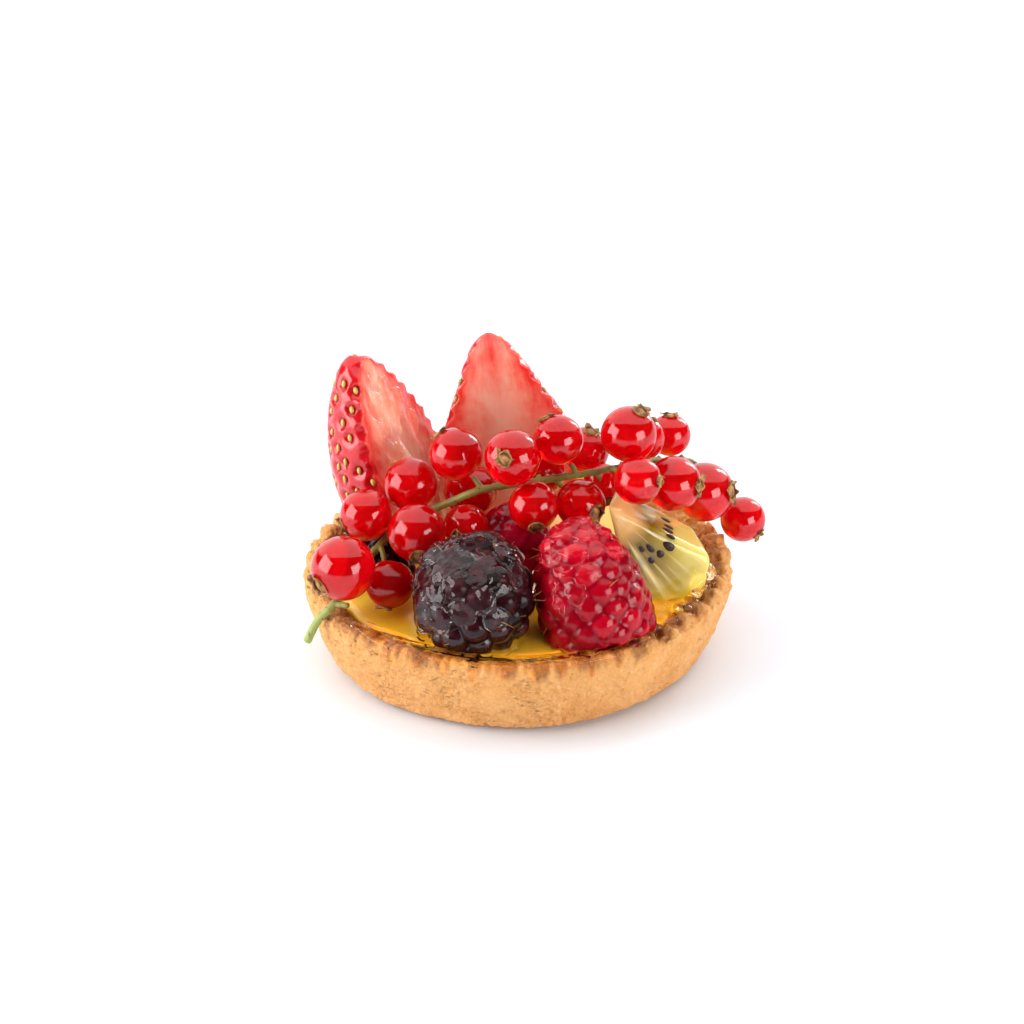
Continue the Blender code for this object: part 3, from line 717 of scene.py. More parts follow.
def flatten_foot(shape):
    """Presses what would lie in the custard or under the rim back to where there is room."""
    for vertex in shape.verts:
        vertex.co.z = max(vertex.co.z, FRUIT_FLOOR)
        radius = math.hypot(vertex.co.x, vertex.co.y)
        limit = TART_RADIUS - RIM_WIDTH - 0.2 * MM + 1.4 * MM * smooth_step((vertex.co.z - FRUIT_FLOOR - 0.2 * MM) / MM)
        if vertex.co.z < TART_HEIGHT + 0.8 * MM and radius > limit:
            vertex.co.x *= limit / radius
            vertex.co.y *= limit / radius


def plump(spheres, fullness, stray):
    """Lets beads swell against each other: each gets bigger and sinks in, so its top stays where it was."""
    draw = random.Random(77)
    middle_line = Vector((0.0, 0.0, 1.0))
    for middle, radius in spheres:
        core = middle_line * (middle.z * 0.7 + 3.0 * MM)
        out = (middle - core).normalized()
        drift = Vector([draw.uniform(-1.0, 1.0) for _ in range(3)]) * stray * radius
        drift -= out * drift.dot(out) * 0.6
        size = radius * fullness * draw.uniform(0.94, 1.06)
        yield middle + drift - out * (size - radius), size


def bead_cluster(outline, drupelet, foot, axis, seed, fullness, stray):
    """Every bead of a berry and the pulp behind them, standing on the berry's foot."""
    rows = drupelets(outline, drupelet, seed)
    spheres = list(plump(unsettle(rows, outline, drupelet, seed), fullness, stray))
    lean = UP.rotation_difference(Vector(axis).normalized()).to_matrix().to_4x4()
    placing = Matrix.Translation(Vector(foot) * MM) @ lean
    shape = bmesh.new()
    for middle, radius in spheres:
        bmesh.ops.create_icosphere(
            shape, subdivisions=3, radius=radius, matrix=placing @ Matrix.Translation(middle)
        )
    for height, wide in outline[2:-2:2]:
        bmesh.ops.create_icosphere(
            shape, subdivisions=3, radius=max(0.5 * MM, wide - 0.55 * drupelet),
            matrix=placing @ Matrix.Translation((0.0, 0.0, height)) @ Matrix.Diagonal((1.0, 1.0, 0.35, 1.0)),
        )
    flatten_foot(shape)
    return shape, [(placing @ middle, radius) for middle, radius in spheres]


test_outline = list(raspberry_outline(RASPBERRY_LENGTH, RASPBERRY_RADIUS, 0.22))
print("beads on a raspberry:", len(drupelets(test_outline, DRUPELET_RADIUS * 0.95, 12)))

# %% [markdown]
# The jelly and the tones. Each bead gets its own tone, as no two ripen alike, and a number says how deep in a crease
# each point lies, for painted shade that darkens the creases. Both numbers ride on the mesh for the material.

# %% Fill creases, and note tones
def fill_creases(piece, rounds, low, high):
    """Fills the creases with jelly, not at all below one height and fully above another."""
    before = points_of(piece)
    normals = normals_of(piece)
    smooth_points(piece, rounds)
    after = points_of(piece)
    outward = np.einsum("ij,ij->i", after - before, normals)
    share = np.clip((before[:, 2] - low) / (high - low), 0.0, 1.0)
    keep = (outward > 0.0) * share
    place_points(piece, before + (after - before) * keep[:, None])
    return np.where(outward > 0.0, outward, 0.0)


def note_beads(piece, spheres, seed):
    draw = random.Random(seed)
    tones = np.array([draw.random() for _ in spheres])
    middles = np.array([middle for middle, _ in spheres])
    radii = np.array([radius for _, radius in spheres])
    tree = kdtree.KDTree(len(spheres))
    for index, middle in enumerate(middles):
        tree.insert(middle, index)
    tree.balance()
    nearest = np.array([tree.find(point)[1] for point in points_of(piece)])
    away = np.linalg.norm(points_of(piece) - middles[nearest], axis=1) / radii[nearest]
    two = [tree.find_n(point, 2) for point in points_of(piece)]
    line = np.array([1.0 - (second[2] - first[2]) / (0.5 * MM) for first, second in two])
    note(piece, "tone", tones[nearest])
    note(piece, "crease", np.clip(np.maximum((away - 1.0) / 0.35, line * 0.8), 0.0, 1.0))


def fine_hairs(spheres, middle, count, length, seed):
    """A few dry hairs left from the flower, each a thin cone that leans its own way."""
    draw = random.Random(seed)
    shape = bmesh.new()
    outer = [pair for pair in spheres if pair[0].z > FRUIT_FLOOR]
    for _ in range(count):
        bead, radius = draw.choice(outer)
        out = (bead - middle).normalized()
        lean = Vector([draw.uniform(-1.0, 1.0) for _ in range(3)])
        way = (out + lean * 0.9).normalized()
        root = bead + (out + lean * 0.35).normalized() * radius * 0.97
        reach = length * draw.uniform(0.5, 1.2)
        turn = UP.rotation_difference(way).to_matrix().to_4x4()
        hair = bmesh.ops.create_cone(
            shape, cap_ends=True, segments=5, radius1=0.045 * MM, radius2=0.018 * MM, depth=reach,
            matrix=Matrix.Translation(root + way * reach * 0.4) @ turn,
        )
        for vertex in hair["verts"]:
            along = (vertex.co - root).dot(way)
            vertex.co += (lean - way * lean.dot(way)) * along * along * 120.0
    return shape


print("helpers for beads ready")

# %% Skins of the dark and the red berries
hair = Finish("dry_hair", Roughness=0.5)
hair.colour(hair.blend(hair.grain(900.0), (0.62, 0.32, 0.06), (0.80, 0.52, 0.16)))
hair.bump(hair.grain(4000.0), 0.02 * MM, 0.4)

black_skin = Finish(
    "bramble_skin", Roughness=0.09,
    Subsurface_Weight=0.1, Subsurface_Radius=(1.0, 0.15, 0.2), Subsurface_Scale=1.5 * MM,
)
black_tone = black_skin.blend(black_skin.attribute("tone"), (0.005, 0.002, 0.002), (0.022, 0.004, 0.006))
black_tone = black_skin.blend(
    black_skin.ranged(black_skin.grain(420.0), 0.5, 0.75, 0.0, 0.6), black_tone, (0.07, 0.006, 0.012)
)
# Painted shade: darker deep in the creases and along the seams between beads.
black_skin.colour(black_skin.blend(black_skin.attribute("crease"), black_tone, (0.004, 0.001, 0.001)))
under_glaze = black_skin.ranged(black_skin.part(black_skin.place, "Z"), 0.0185, 0.0215)
black_skin.feed(black_skin.shader.inputs["Specular IOR Level"], black_skin.ranged(under_glaze, 0.0, 1.0, 0.45, 0.16))
black_skin.bump(black_skin.grain(700.0), 0.10 * MM, 0.35)

red_skin = Finish(
    "raspberry_skin", Roughness=0.07, Specular_IOR_Level=0.26,
    Subsurface_Weight=0.7, Subsurface_Radius=(1.0, 0.04, 0.05), Subsurface_Scale=2.0 * MM,
)
red_tone = red_skin.blend(red_skin.attribute("tone"), (0.44, 0.001, 0.012), (0.27, 0.001, 0.008))
red_tone = red_skin.blend(
    red_skin.ranged(red_skin.grain(500.0), 0.5, 0.8, 0.0, 0.4), red_tone, (0.58, 0.01, 0.03)
)
# Painted shade: darker deep in the creases and along the seams between beads.
red_skin.colour(red_skin.blend(red_skin.attribute("crease"), red_tone, (0.20, 0.0, 0.006)))
red_skin.bump(red_skin.grain(650.0), 0.10 * MM, 0.35)

deep_skin = Finish(
    "raspberry_under_jelly", Roughness=0.06, Specular_IOR_Level=0.34,
    Subsurface_Weight=0.5, Subsurface_Radius=(1.0, 0.08, 0.10), Subsurface_Scale=2.4 * MM,
)
deep_tone = deep_skin.blend(deep_skin.attribute("tone"), (0.48, 0.003, 0.022), (0.34, 0.002, 0.018))
deep_tone = deep_skin.blend(deep_skin.grain(180.0), deep_tone, (0.50, 0.003, 0.028))
# Painted shade: darker deep in the creases and along the seams between beads.
deep_skin.colour(deep_skin.blend(deep_skin.attribute("crease"), deep_tone, (0.16, 0.0, 0.008)))
deep_skin.bump(deep_skin.grain(350.0), 0.15 * MM, 0.3)
print("berry finishes:", black_skin.material.name, red_skin.material.name, deep_skin.material.name)

# %% Four berries
def scaled(outline, high, wide):
    return [(height * high, radius * wide) for height, radius in outline]


bramble = list(bramble_outline(BRAMBLE_LENGTH, BRAMBLE_RADIUS))
raspberry = list(raspberry_outline(RASPBERRY_LENGTH, RASPBERRY_RADIUS, 0.22))
rear_raspberry = scaled(raspberry_outline(RASPBERRY_LENGTH, RASPBERRY_RADIUS, 0.14), 0.64, 0.8)
BEADED = (
    # name, node, outline, bead radius, foot in mm, axis, seed, finish, slot, fill rounds, fill from and to in mm,
    # then how full the beads are and how far they stray
    ("bramble_front_skin", "bramble_front", bramble, DRUPELET_RADIUS, (-7.7, -23.4, 12.0), (0.03, -0.05, 1.0), 3,
     black_skin, "bramble_skin", 130, 17.5, 26.0, 1.18, 0.20),
    ("bramble_side_skin", "bramble_side", scaled(bramble, 0.58, 0.5), DRUPELET_RADIUS * 0.8, (-23.1, -4.9, 11.8),
     (0.0, 0.0, 1.0), 8, black_skin, "bramble_skin", 30, 16.0, 19.0, 1.2, 0.15),
    ("raspberry_front_skin", "raspberry_front", raspberry, DRUPELET_RADIUS * 0.95, (14.5, -23.0, 12.9),
     (-0.30, 0.2, 1.0), 12, red_skin, "raspberry_skin", 24, 16.0, 32.0, 1.6, 0.12),
    ("raspberry_rear_skin", "raspberry_rear", rear_raspberry, DRUPELET_RADIUS * 0.95,
     (-0.6, -4.2, 12.9), (0.0, 0.0, 1.0), 21, deep_skin, "raspberry_skin", 420, 12.0, 13.0, 1.75, 0.1),
)
BEAD_VOXEL = 0.24 * MM
BEADS = {}
for name, node, outline, bead, foot, axis, seed, finish, slot, rounds, low, high, fullness, stray in BEADED:
    shape, spheres = bead_cluster(outline, bead, foot, axis, seed, fullness, stray)
    BEADS[node] = spheres
    berry = new_piece(name, shape, finish.material, hair.material)
    one_skin(berry, BEAD_VOXEL)
    smooth_points(berry, 2)
    note_beads(berry, spheres, seed)
    fill_creases(berry, rounds, low * MM, high * MM)
    middle = sum((bead_middle for bead_middle, _ in spheres), Vector()) / len(spheres)
    join_into(berry, fine_hairs(spheres, middle, 14, 2.4 * MM, seed), 1)
    settle_on_tart(berry, slot, node)

# %% [markdown]
# ## Halved strawberries
# A strawberry's seeds sit in small dimples, each with a red rim round a straw-coloured grain. The half is spun
# from its profile, bisected by a plane, and remeshed, so that skin and cut face both have points to shape. The
# dimples follow a spiral with the golden angle, which is how the grains really spread.

# %% Skin and cut face
def strawberry_profile(widest, slim):
    """From the leafy end up to the tip, as (radius, height), slimmed by a share between middle and tip."""
    shares = (
        (0.00, 0.00), (0.50, 0.01), (0.80, 0.07), (0.96, 0.20), (1.00, 0.36), (0.93, 0.52),
        (0.78, 0.67), (0.58, 0.80), (0.37, 0.91), (0.18, 0.975), (0.00, 1.00),
    )
    slimmed = [(wide * (1.0 - slim * max(0.0, math.sin((high - 0.5) * math.tau))), high) for wide, high in shares]
    return [(widest * wide, STRAWBERRY_LENGTH * high) for wide, high in slimmed]


def radius_at(profile, height):
    """The strawberry's radius at a height along its axis."""
    heights = [point[1] for point in profile]
    radii = [point[0] for point in profile]
    return np.interp(height, heights, radii)


def cut_away(shape, point, normal):
    """Cuts off what lies on the normal's side of a plane, and closes the cut."""
    bmesh.ops.bisect_plane(
        shape, geom=shape.verts[:] + shape.edges[:] + shape.faces[:], dist=0.001 * MM, plane_co=point,
        plane_no=normal, clear_outer=True,
    )
    open_edges = [edge for edge in shape.edges if edge.is_boundary]
    if open_edges:
        bmesh.ops.holes_fill(shape, edges=open_edges, sides=0)


GRAIN_SPACING = 3.7 * MM
DIMPLE_RADIUS = 1.25 * MM
DIMPLE_DEPTH = 0.80 * MM
NOTCH_STEP = 1.55 * MM


GRAIN_SHAKE_SEED = 3.7


def grain_places(profile):
    """(turn, height) of each grain on the skin, evenly spread over its area."""
    places = []
    area = 0.0
    height = 0.04 * STRAWBERRY_LENGTH
    step = 0.05 * MM
    each = GRAIN_SPACING ** 2 * 0.87
    while height < 0.985 * STRAWBERRY_LENGTH:
        area += math.tau * float(radius_at(profile, height)) * step * 1.1
        if area >= each:
            area -= each
            shake = noise.noise_vector(Vector((len(places) * 7.31, GRAIN_SHAKE_SEED, 0.5)))
            places.append((len(places) * GOLDEN_ANGLE + 0.16 * shake.x, height + 0.7 * MM * shake.y))
        height += step
    return places


flesh = Finish(
    "strawberry_flesh", Roughness=0.14, Coat_Weight=0.2, Coat_Roughness=0.02, Coat_IOR=1.45,
    Subsurface_Weight=0.7, Subsurface_Radius=(1.0, 0.30, 0.20), Subsurface_Scale=4.0 * MM,
)
cut_map = flesh.attribute("cut_map", "Vector")
streaks = flesh.grain(1.0, 4.0, 0.6, stretch=(5.0, 2.2, 5.0), coords=cut_map, distortion=0.3)
clouds = flesh.grain(190.0, 3.0)
mottle = flesh.grain(330.0, 3.0, 0.6)
streaks = flesh.sum("ADD", flesh.sum("MULTIPLY", streaks, 0.6), flesh.sum("MULTIPLY", mottle, 0.4))
flesh_tone = flesh.blend(flesh.ranged(streaks, 0.38, 0.62), (0.98, 0.19, 0.12), (1.0, 0.52, 0.38))
near_skin = flesh.part(cut_map, "Y")
flesh_tone = flesh.blend(flesh.ranged(near_skin, 0.08, 0.50, 0.7, 0.0), flesh_tone, (1.0, 0.62, 0.46))
red_share = flesh.sum("MAXIMUM", flesh.ranged(near_skin, 0.42, 0.88), flesh.ranged(flesh.part(cut_map, "X"), 0.55, 0.86))
red_tone = flesh.blend(flesh.ranged(streaks, 0.42, 0.66), (0.80, 0.03, 0.025), (0.96, 0.20, 0.13))
flesh_tone = flesh.blend(red_share, flesh_tone, red_tone)
skin_tone = flesh.blend(flesh.ranged(clouds, 0.35, 0.7), (0.62, 0.008, 0.014), (0.50, 0.004, 0.010))
# Painted shade: the skin is darker in the dimples, the deeper the darker.
skin_tone = flesh.blend(flesh.attribute("dimple"), skin_tone, (0.36, 0.002, 0.006))
flesh.colour(flesh.blend(flesh.attribute("cut"), skin_tone, flesh_tone))
flesh.bump(streaks, 0.4 * MM, 0.2)
flesh.bump(flesh.grain(900.0), 0.12 * MM, 0.4)

grain_coat = Finish("strawberry_grain", Roughness=0.3, Coat_Weight=0.8, Coat_Roughness=0.05)
grain_coat.colour(grain_coat.blend(grain_coat.grain(700.0), (0.72, 0.42, 0.06), (0.50, 0.34, 0.05)))
grain_coat.bump(grain_coat.grain(3000.0), 0.05 * MM, 0.5)
print("grains on a whole strawberry:", len(grain_places(strawberry_profile(STRAWBERRY_RADIUS, 0.0))))


# %% Two halves
CUT_FACES = {}


def half_strawberry(name, node, tip, foot, widest, slim, cut_normal, cut_offset):
    profile = strawberry_profile(widest, slim)
    shape = spun(profile, 12, 6, fine_from=-1.0, fine=1.2 * MM, rounding=3)
    tip = Vector(tip) * MM
    axis = (tip - Vector(foot) * MM).normalized()
    facing = Vector(cut_normal)
    facing = (facing - axis * facing.dot(axis)).normalized()
    side = axis.cross(facing)
    start = tip - axis * STRAWBERRY_LENGTH
    turn = Matrix((facing, side, axis)).transposed().to_4x4()
    placing = Matrix.Translation(start) @ turn
    bmesh.ops.transform(shape, matrix=placing, verts=shape.verts)
    cut_away(shape, start + facing * cut_offset, facing)
    CUT_FACES[name] = (start, facing, side, axis, cut_offset, profile)
    flatten_foot(shape)
    half = new_piece(name, shape, flesh.material, grain_coat.material)
    one_skin(half, 0.27 * MM)
    smooth_points(half, 2)

    points = points_of(half)
    normals = normals_of(half)
    local = points - np.array(start)
    out = local @ np.array(facing)
    across = local @ np.array(side)
    along = local @ np.array(axis)
    facing_out = normals @ np.array(facing)
    cut = np.clip((out - cut_offset + 0.35 * MM) / (0.25 * MM), 0.0, 1.0) * (facing_out > 0.55)
    skin_radius = np.maximum(radius_at(profile, along), 0.3 * MM)
    share = np.hypot(across, out) / skin_radius
    length_share = along / STRAWBERRY_LENGTH
    note(half, "cut", cut)
    note(half, "cut_map", np.stack([length_share - 0.45 * share, share, np.sign(across)], axis=1))

    tree_places = []
    for angle, height in grain_places(profile):
        radius = float(radius_at(profile, height))
        where = Vector((radius * math.cos(angle), radius * math.sin(angle), height))
        slope = (radius_at(profile, height + MM) - radius_at(profile, height - MM)) / (2 * MM)
        out_way = Vector((math.cos(angle), math.sin(angle), -float(slope))).normalized()
        spot = placing @ where
        keep = where.x < cut_offset - 0.5 * MM and spot.z > FRUIT_FLOOR + 1.0 * MM
        if keep:
            tree_places.append((spot, (turn @ out_way).normalized()))
    notches = []
    notch_height = 0.10 * STRAWBERRY_LENGTH
    notch_side = 1.0
    while notch_height < 0.97 * STRAWBERRY_LENGTH:
        radius = float(radius_at(profile, notch_height))
        edge = math.sqrt(max(0.0, radius * radius - cut_offset * cut_offset))
        notches.append(placing @ Vector((cut_offset, notch_side * edge, notch_height)))
        notch_side = -notch_side
        notch_height += NOTCH_STEP
    notch_tree = kdtree.KDTree(len(notches))
    for index, spot in enumerate(notches):
        notch_tree.insert(spot, index)
    notch_tree.balance()
    notch_near = np.array([notch_tree.find(point)[2] for point in points])
    notch = np.exp(-((notch_near / (1.15 * MM)) ** 2)) * 0.85 * MM
    inward = -(across / np.maximum(np.abs(across), 0.1 * MM))[:, None] * np.array(side)

    tree = kdtree.KDTree(len(tree_places))
    for index, (spot, _) in enumerate(tree_places):
        tree.insert(spot, index)
    tree.balance()
    near = np.array([tree.find(point)[2] for point in points])
    hollow = np.exp(-((near / DIMPLE_RADIUS) ** 2) * 1.4) * (1.0 - cut)
    swell = np.array([noise.noise(Vector(point) * 220.0) for point in points]) * 0.12 * MM
    folds = np.stack([across * 190.0, along * 110.0, out * 190.0], axis=1)
    relief = np.array([noise.fractal(Vector(fold), 0.9, 2.1, 3) for fold in folds]) * 0.26 * MM * cut
    moved = points + normals * (swell + relief - hollow * DIMPLE_DEPTH)[:, None] + inward * notch[:, None]
    moved[:, 2] = np.maximum(moved[:, 2], FRUIT_FLOOR)
    place_points(half, moved)
    note(half, "dimple", hollow)

    grains = bmesh.new()
    for spot, out_way in tree_places:
        long_way = (axis - out_way * axis.dot(out_way)).normalized()
        turned = Matrix((out_way, long_way.cross(out_way), long_way)).transposed().to_4x4()
        bmesh.ops.create_icosphere(
            grains, subdivisions=2, radius=1.0 * MM,
            matrix=Matrix.Translation(spot - out_way * 0.45 * MM) @ turned @ Matrix.Diagonal((0.38, 0.42, 0.68, 1.0)),
        )
    print("grains on", name, ":", len(tree_places))
    join_into(half, grains, 1)
    settle_on_tart(half, "strawberry_flesh", node)


half_strawberry(
    "strawberry_side_half", "strawberry_side", (-29.2, 12.6, 48.8), (-16.0, 11.8, 14.0),
    STRAWBERRY_RADIUS * 0.98, 0.0, (0.91, -0.42, 0.1), STRAWBERRY_OFFSET,
)
half_strawberry(
    "strawberry_back_half", "strawberry_back", (-5.2, 13.5, 52.6), (0.9, 12.5, 14.0),
    STRAWBERRY_RADIUS, 0.14, (0.1, -1.0, 0.1), 0.0,
)

# %% [markdown]
# ## The kiwi wedge
# A wedge from a thick slice of kiwi. Its two broad faces show the fruit's cross-section: a cream core, a ring of
# dark seeds and pale rays that run out from the core. Its other cut runs from core to rind. The colours are
# painted by the distance from the core and the turn about it, which are noted on the mesh as a map, because no
# world axis lies along this leaning piece.

# %% Wedge
KIWI_CORE = Vector((15.1, -11.4, 32.0)) * MM
KIWI_OUT = Vector((0.869, 0.015, -0.494)).normalized()
KIWI_DOWN = Vector((-0.476, -0.238, -0.845)).normalized()
KIWI_THICK = Vector((-0.13, 0.99, 0.05)).normalized()
KIWI_FACE = KIWI_OUT.cross(KIWI_DOWN).normalized()
if KIWI_FACE.y > 0.0:
    KIWI_FACE.negate()
KIWI_SPREAD = math.radians(48.0)
KIWI_TAPER = 0.9
wedge = bmesh.new()
corners = [wedge.verts.new(KIWI_CORE)]
for step in range(13):
    angle = KIWI_SPREAD * step / 12
    arc = KIWI_OUT * math.cos(angle) + KIWI_DOWN * math.sin(angle)
    corner_share = max(0.0, 1.0 - min(step, 12 - step) / 3.0)
    corners.append(wedge.verts.new(KIWI_CORE + KIWI_RADIUS * (1.0 - 0.06 * corner_share ** 2) * arc))
front = wedge.faces.new(corners)
grown = bmesh.ops.extrude_face_region(wedge, geom=[front])
for item in grown["geom"]:
    if isinstance(item, bmesh.types.BMVert):
        if (item.co - KIWI_CORE).length < MM:
            item.co = KIWI_CORE + KIWI_OUT * 3.6 * MM
        item.co = KIWI_CORE + (item.co - KIWI_CORE) * KIWI_TAPER + KIWI_THICK * KIWI_THICKNESS
bmesh.ops.recalc_face_normals(wedge, faces=wedge.faces)
long_edges = [edge for edge in wedge.edges if edge.calc_face_angle(0.0) > math.radians(35.0)]
bmesh.ops.bevel(
    wedge, geom=long_edges, offset=KIWI_EDGE * 1.4, segments=3, profile=0.5, affect="EDGES", material=-1
)
flatten_foot(wedge)
print("kiwi wedge:", len(wedge.faces), "faces before the remesh")

# %% Kiwi finish
green = Finish(
    "kiwi_flesh", Roughness=0.10, Coat_Weight=0.0, Coat_Roughness=0.03, Coat_IOR=1.45,
    Subsurface_Weight=0.45, Subsurface_Radius=(1.0, 0.8, 0.2), Subsurface_Scale=3.0 * MM,
)
kiwi_map = green.attribute("kiwi_map", "Vector")
from_core = green.part(kiwi_map, "X")
rays = green.grain(1.0, 1.5, 0.5, stretch=(1.3, 9.0, 2.0), coords=kiwi_map)
cloud = green.grain(230.0, 3.0)
ray_share = green.sum(
    "MULTIPLY", green.ranged(rays, 0.50, 0.64, 0.0, 0.85),
    green.sum("MULTIPLY", green.ranged(from_core, 0.26, 0.40), green.ranged(from_core, 0.94, 0.70)),
)
inner_green = green.blend(green.ranged(cloud, 0.3, 0.7), (0.30, 0.18, 0.004), (0.19, 0.11, 0.003))
outer_green = green.blend(green.ranged(cloud, 0.3, 0.7), (0.68, 0.52, 0.06), (0.52, 0.37, 0.03))
kiwi_tone = green.blend(green.ranged(from_core, 0.58, 0.92), inner_green, outer_green)
kiwi_turned = green.part(kiwi_map, "Y")
# Painted light: the flesh is paler and yellower near the ridge and on the upper cut, where the light from above falls.
near_ridge = green.sum("MULTIPLY", green.ranged(kiwi_turned, 0.42, 0.05), green.ranged(from_core, 0.42, 0.66))
kiwi_tone = green.blend(green.sum("MULTIPLY", near_ridge, 0.85), kiwi_tone, (0.80, 0.66, 0.17))
kiwi_tone = green.blend(ray_share, kiwi_tone, (0.96, 0.78, 0.34))
cream = green.blend(green.ranged(cloud, 0.3, 0.7), (0.86, 0.54, 0.21), (0.78, 0.44, 0.15))
green.colour(green.blend(green.ranged(from_core, 0.27, 0.40), cream, kiwi_tone))
green.bump(rays, 0.4 * MM, 0.25)
green.bump(green.grain(700.0), 0.12 * MM, 0.35)

seed_coat = Finish("kiwi_seed", Roughness=0.3, Specular_IOR_Level=0.3)
seed_coat.colour(seed_coat.blend(seed_coat.grain(900.0), (0.020, 0.006, 0.006), (0.05, 0.015, 0.012)))
seed_coat.bump(seed_coat.grain(3500.0), 0.04 * MM, 0.4)
print("kiwi finishes:", green.material.name, seed_coat.material.name)

# %% [markdown]
# The seeds: one row for each that shows on the front face, as its distance from the core in millimetres, its turn
# in degrees and its length. The upper cut has four slivers, and the far sides continue the same ring.

# %% Seeds
FRONT_SEEDS = (
    (8.9, 39.8, 2.1), (9.6, 26.2, 2.1), (10.4, 19.6, 2.5), (12.2, 25.6, 2.0),
    (12.5, 16.8, 1.7), (11.5, 33.0, 1.8), (12.8, 8.0, 2.2),
)
TOP_SEEDS = ((12.9, 5.9, 2.0), (13.1, 3.8, 2.0), (12.7, 2.3, 2.1), (13.0, 0.6, 1.6))
SEED_HUB = KIWI_CORE + (KIWI_OUT * 0.6 - KIWI_DOWN * 0.2) * MM
seeds = bmesh.new()
seed_draw = random.Random(4)


def add_seed(place, along, out, length):
    """One flat drop-shaped seed, half sunk, with its point towards the core."""
    aside = along.cross(out)
    turned = Matrix((along, aside, out)).transposed().to_4x4()
    made = bmesh.ops.create_uvsphere(
        seeds, u_segments=14, v_segments=10, radius=0.5 * MM,
        matrix=Matrix.Translation(place - out * 0.12 * MM) @ turned @ Matrix.Diagonal((length * 1.1, 1.5, 0.6, 1.0)),
    )
    for vertex in made["verts"]:
        share = (vertex.co - place).dot(along) / (length * 0.5 * MM)
        middle_line = place + along * (vertex.co - place).dot(along)
        vertex.co = middle_line + (vertex.co - middle_line) * (1.0 + 0.25 * share)


def radial(turn_degrees):
    angle = math.radians(turn_degrees)
    return KIWI_OUT * math.cos(angle) + KIWI_DOWN * math.sin(angle)


for away, turn_degrees, length in FRONT_SEEDS:
    ray = radial(turn_degrees)
    add_seed(SEED_HUB + ray * away * MM, ray, KIWI_FACE, length)
for away, turn_degrees, length in FRONT_SEEDS:
    ray = radial(turn_degrees + seed_draw.uniform(-3.0, 3.0))
    back_point = SEED_HUB + ray * away * MM * KIWI_TAPER + KIWI_THICK * KIWI_THICKNESS
    add_seed(back_point, ray, -KIWI_FACE, length)
for away, deep, length in TOP_SEEDS:
    ray = radial(0.0)
    add_seed(KIWI_CORE + ray * away * MM + KIWI_THICK * deep * MM, ray, -KIWI_DOWN, length)
for away, deep, length in TOP_SEEDS:
    ray = radial(math.degrees(KIWI_SPREAD))
    out = ray.cross(KIWI_THICK)
    out = out if out.dot(KIWI_DOWN) > 0.0 else -out
    add_seed(KIWI_CORE + ray * away * MM + KIWI_THICK * deep * MM, ray, out, length)
print("kiwi seeds:", len(FRONT_SEEDS) * 2 + len(TOP_SEEDS) * 2)

# %% Finish the wedge
kiwi = new_piece("kiwi_wedge_flesh", wedge, green.material, seed_coat.material)
one_skin(kiwi, 0.24 * MM)
smooth_points(kiwi, 10)
kiwi_points = points_of(kiwi)
kiwi_local = kiwi_points - np.array(KIWI_CORE)
kiwi_axes = np.linalg.inv(np.stack([KIWI_OUT, KIWI_DOWN, KIWI_THICK], axis=1))
kiwi_across, kiwi_low, kiwi_deep = (kiwi_axes @ kiwi_local.T)
kiwi_shrink = 1.0 - (1.0 - KIWI_TAPER) * np.clip(kiwi_deep / KIWI_THICKNESS, 0.0, 1.0)
kiwi_across = kiwi_across / kiwi_shrink
kiwi_low = kiwi_low / kiwi_shrink
kiwi_away = np.hypot(kiwi_across, kiwi_low) / KIWI_RADIUS
kiwi_turn = np.arctan2(kiwi_low, kiwi_across) / KIWI_SPREAD
note(kiwi, "kiwi_map", np.stack([kiwi_away, kiwi_turn, kiwi_deep / KIWI_THICKNESS], axis=1))
swell = np.array([noise.noise(Vector(point) * 260.0) for point in kiwi_points]) * 0.14 * MM
kiwi_moved = kiwi_points + normals_of(kiwi) * swell[:, None]
kiwi_moved[:, 2] = np.maximum(kiwi_moved[:, 2], FRUIT_FLOOR)
place_points(kiwi, kiwi_moved)
join_into(kiwi, seeds, 1)
settle_on_tart(kiwi, "kiwi_flesh", "kiwi_wedge")

# %% [markdown]
# ## Currants
# A currant is a thin glossy skin round clear red juice. Its place is measured from its CAD solid: a sphere is
# fitted to the solid's points, the few points that lie well outside it belong to the dry flower, and they give
# the way the flower points. The new berry is a fine sphere, very slightly flattened, with a small dry tuft of
# five shrivelled petals.

# %% Measure the solids
def fit_berry(node):
    """Centre, radius and flower direction of a currant, from its solid's points."""
    points = np.array([vertex.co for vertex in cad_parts[node].data.vertices], float)
    kept = points
    for _ in range(6):
        system = np.hstack([2.0 * kept, np.ones((len(kept), 1))])
        answer = np.linalg.lstsq(system, (kept ** 2).sum(axis=1), rcond=None)[0]
        centre = answer[:3]
        radius = math.sqrt(answer[3] + centre @ centre)
        off = np.linalg.norm(points - centre, axis=1) - radius
        kept = points[off < 0.02 * radius]
    flower = points[off > 0.05 * radius].mean(axis=0) - centre
    return Vector(centre), radius, Vector(flower).normalized()


CURRANTS = {}
for number in range(1, 23):
    node = f"currant_{number:02d}"
    CURRANTS[node] = fit_berry(node)
print("currant radii in mm:", [round(radius / MM, 1) for _, radius, _ in CURRANTS.values()])

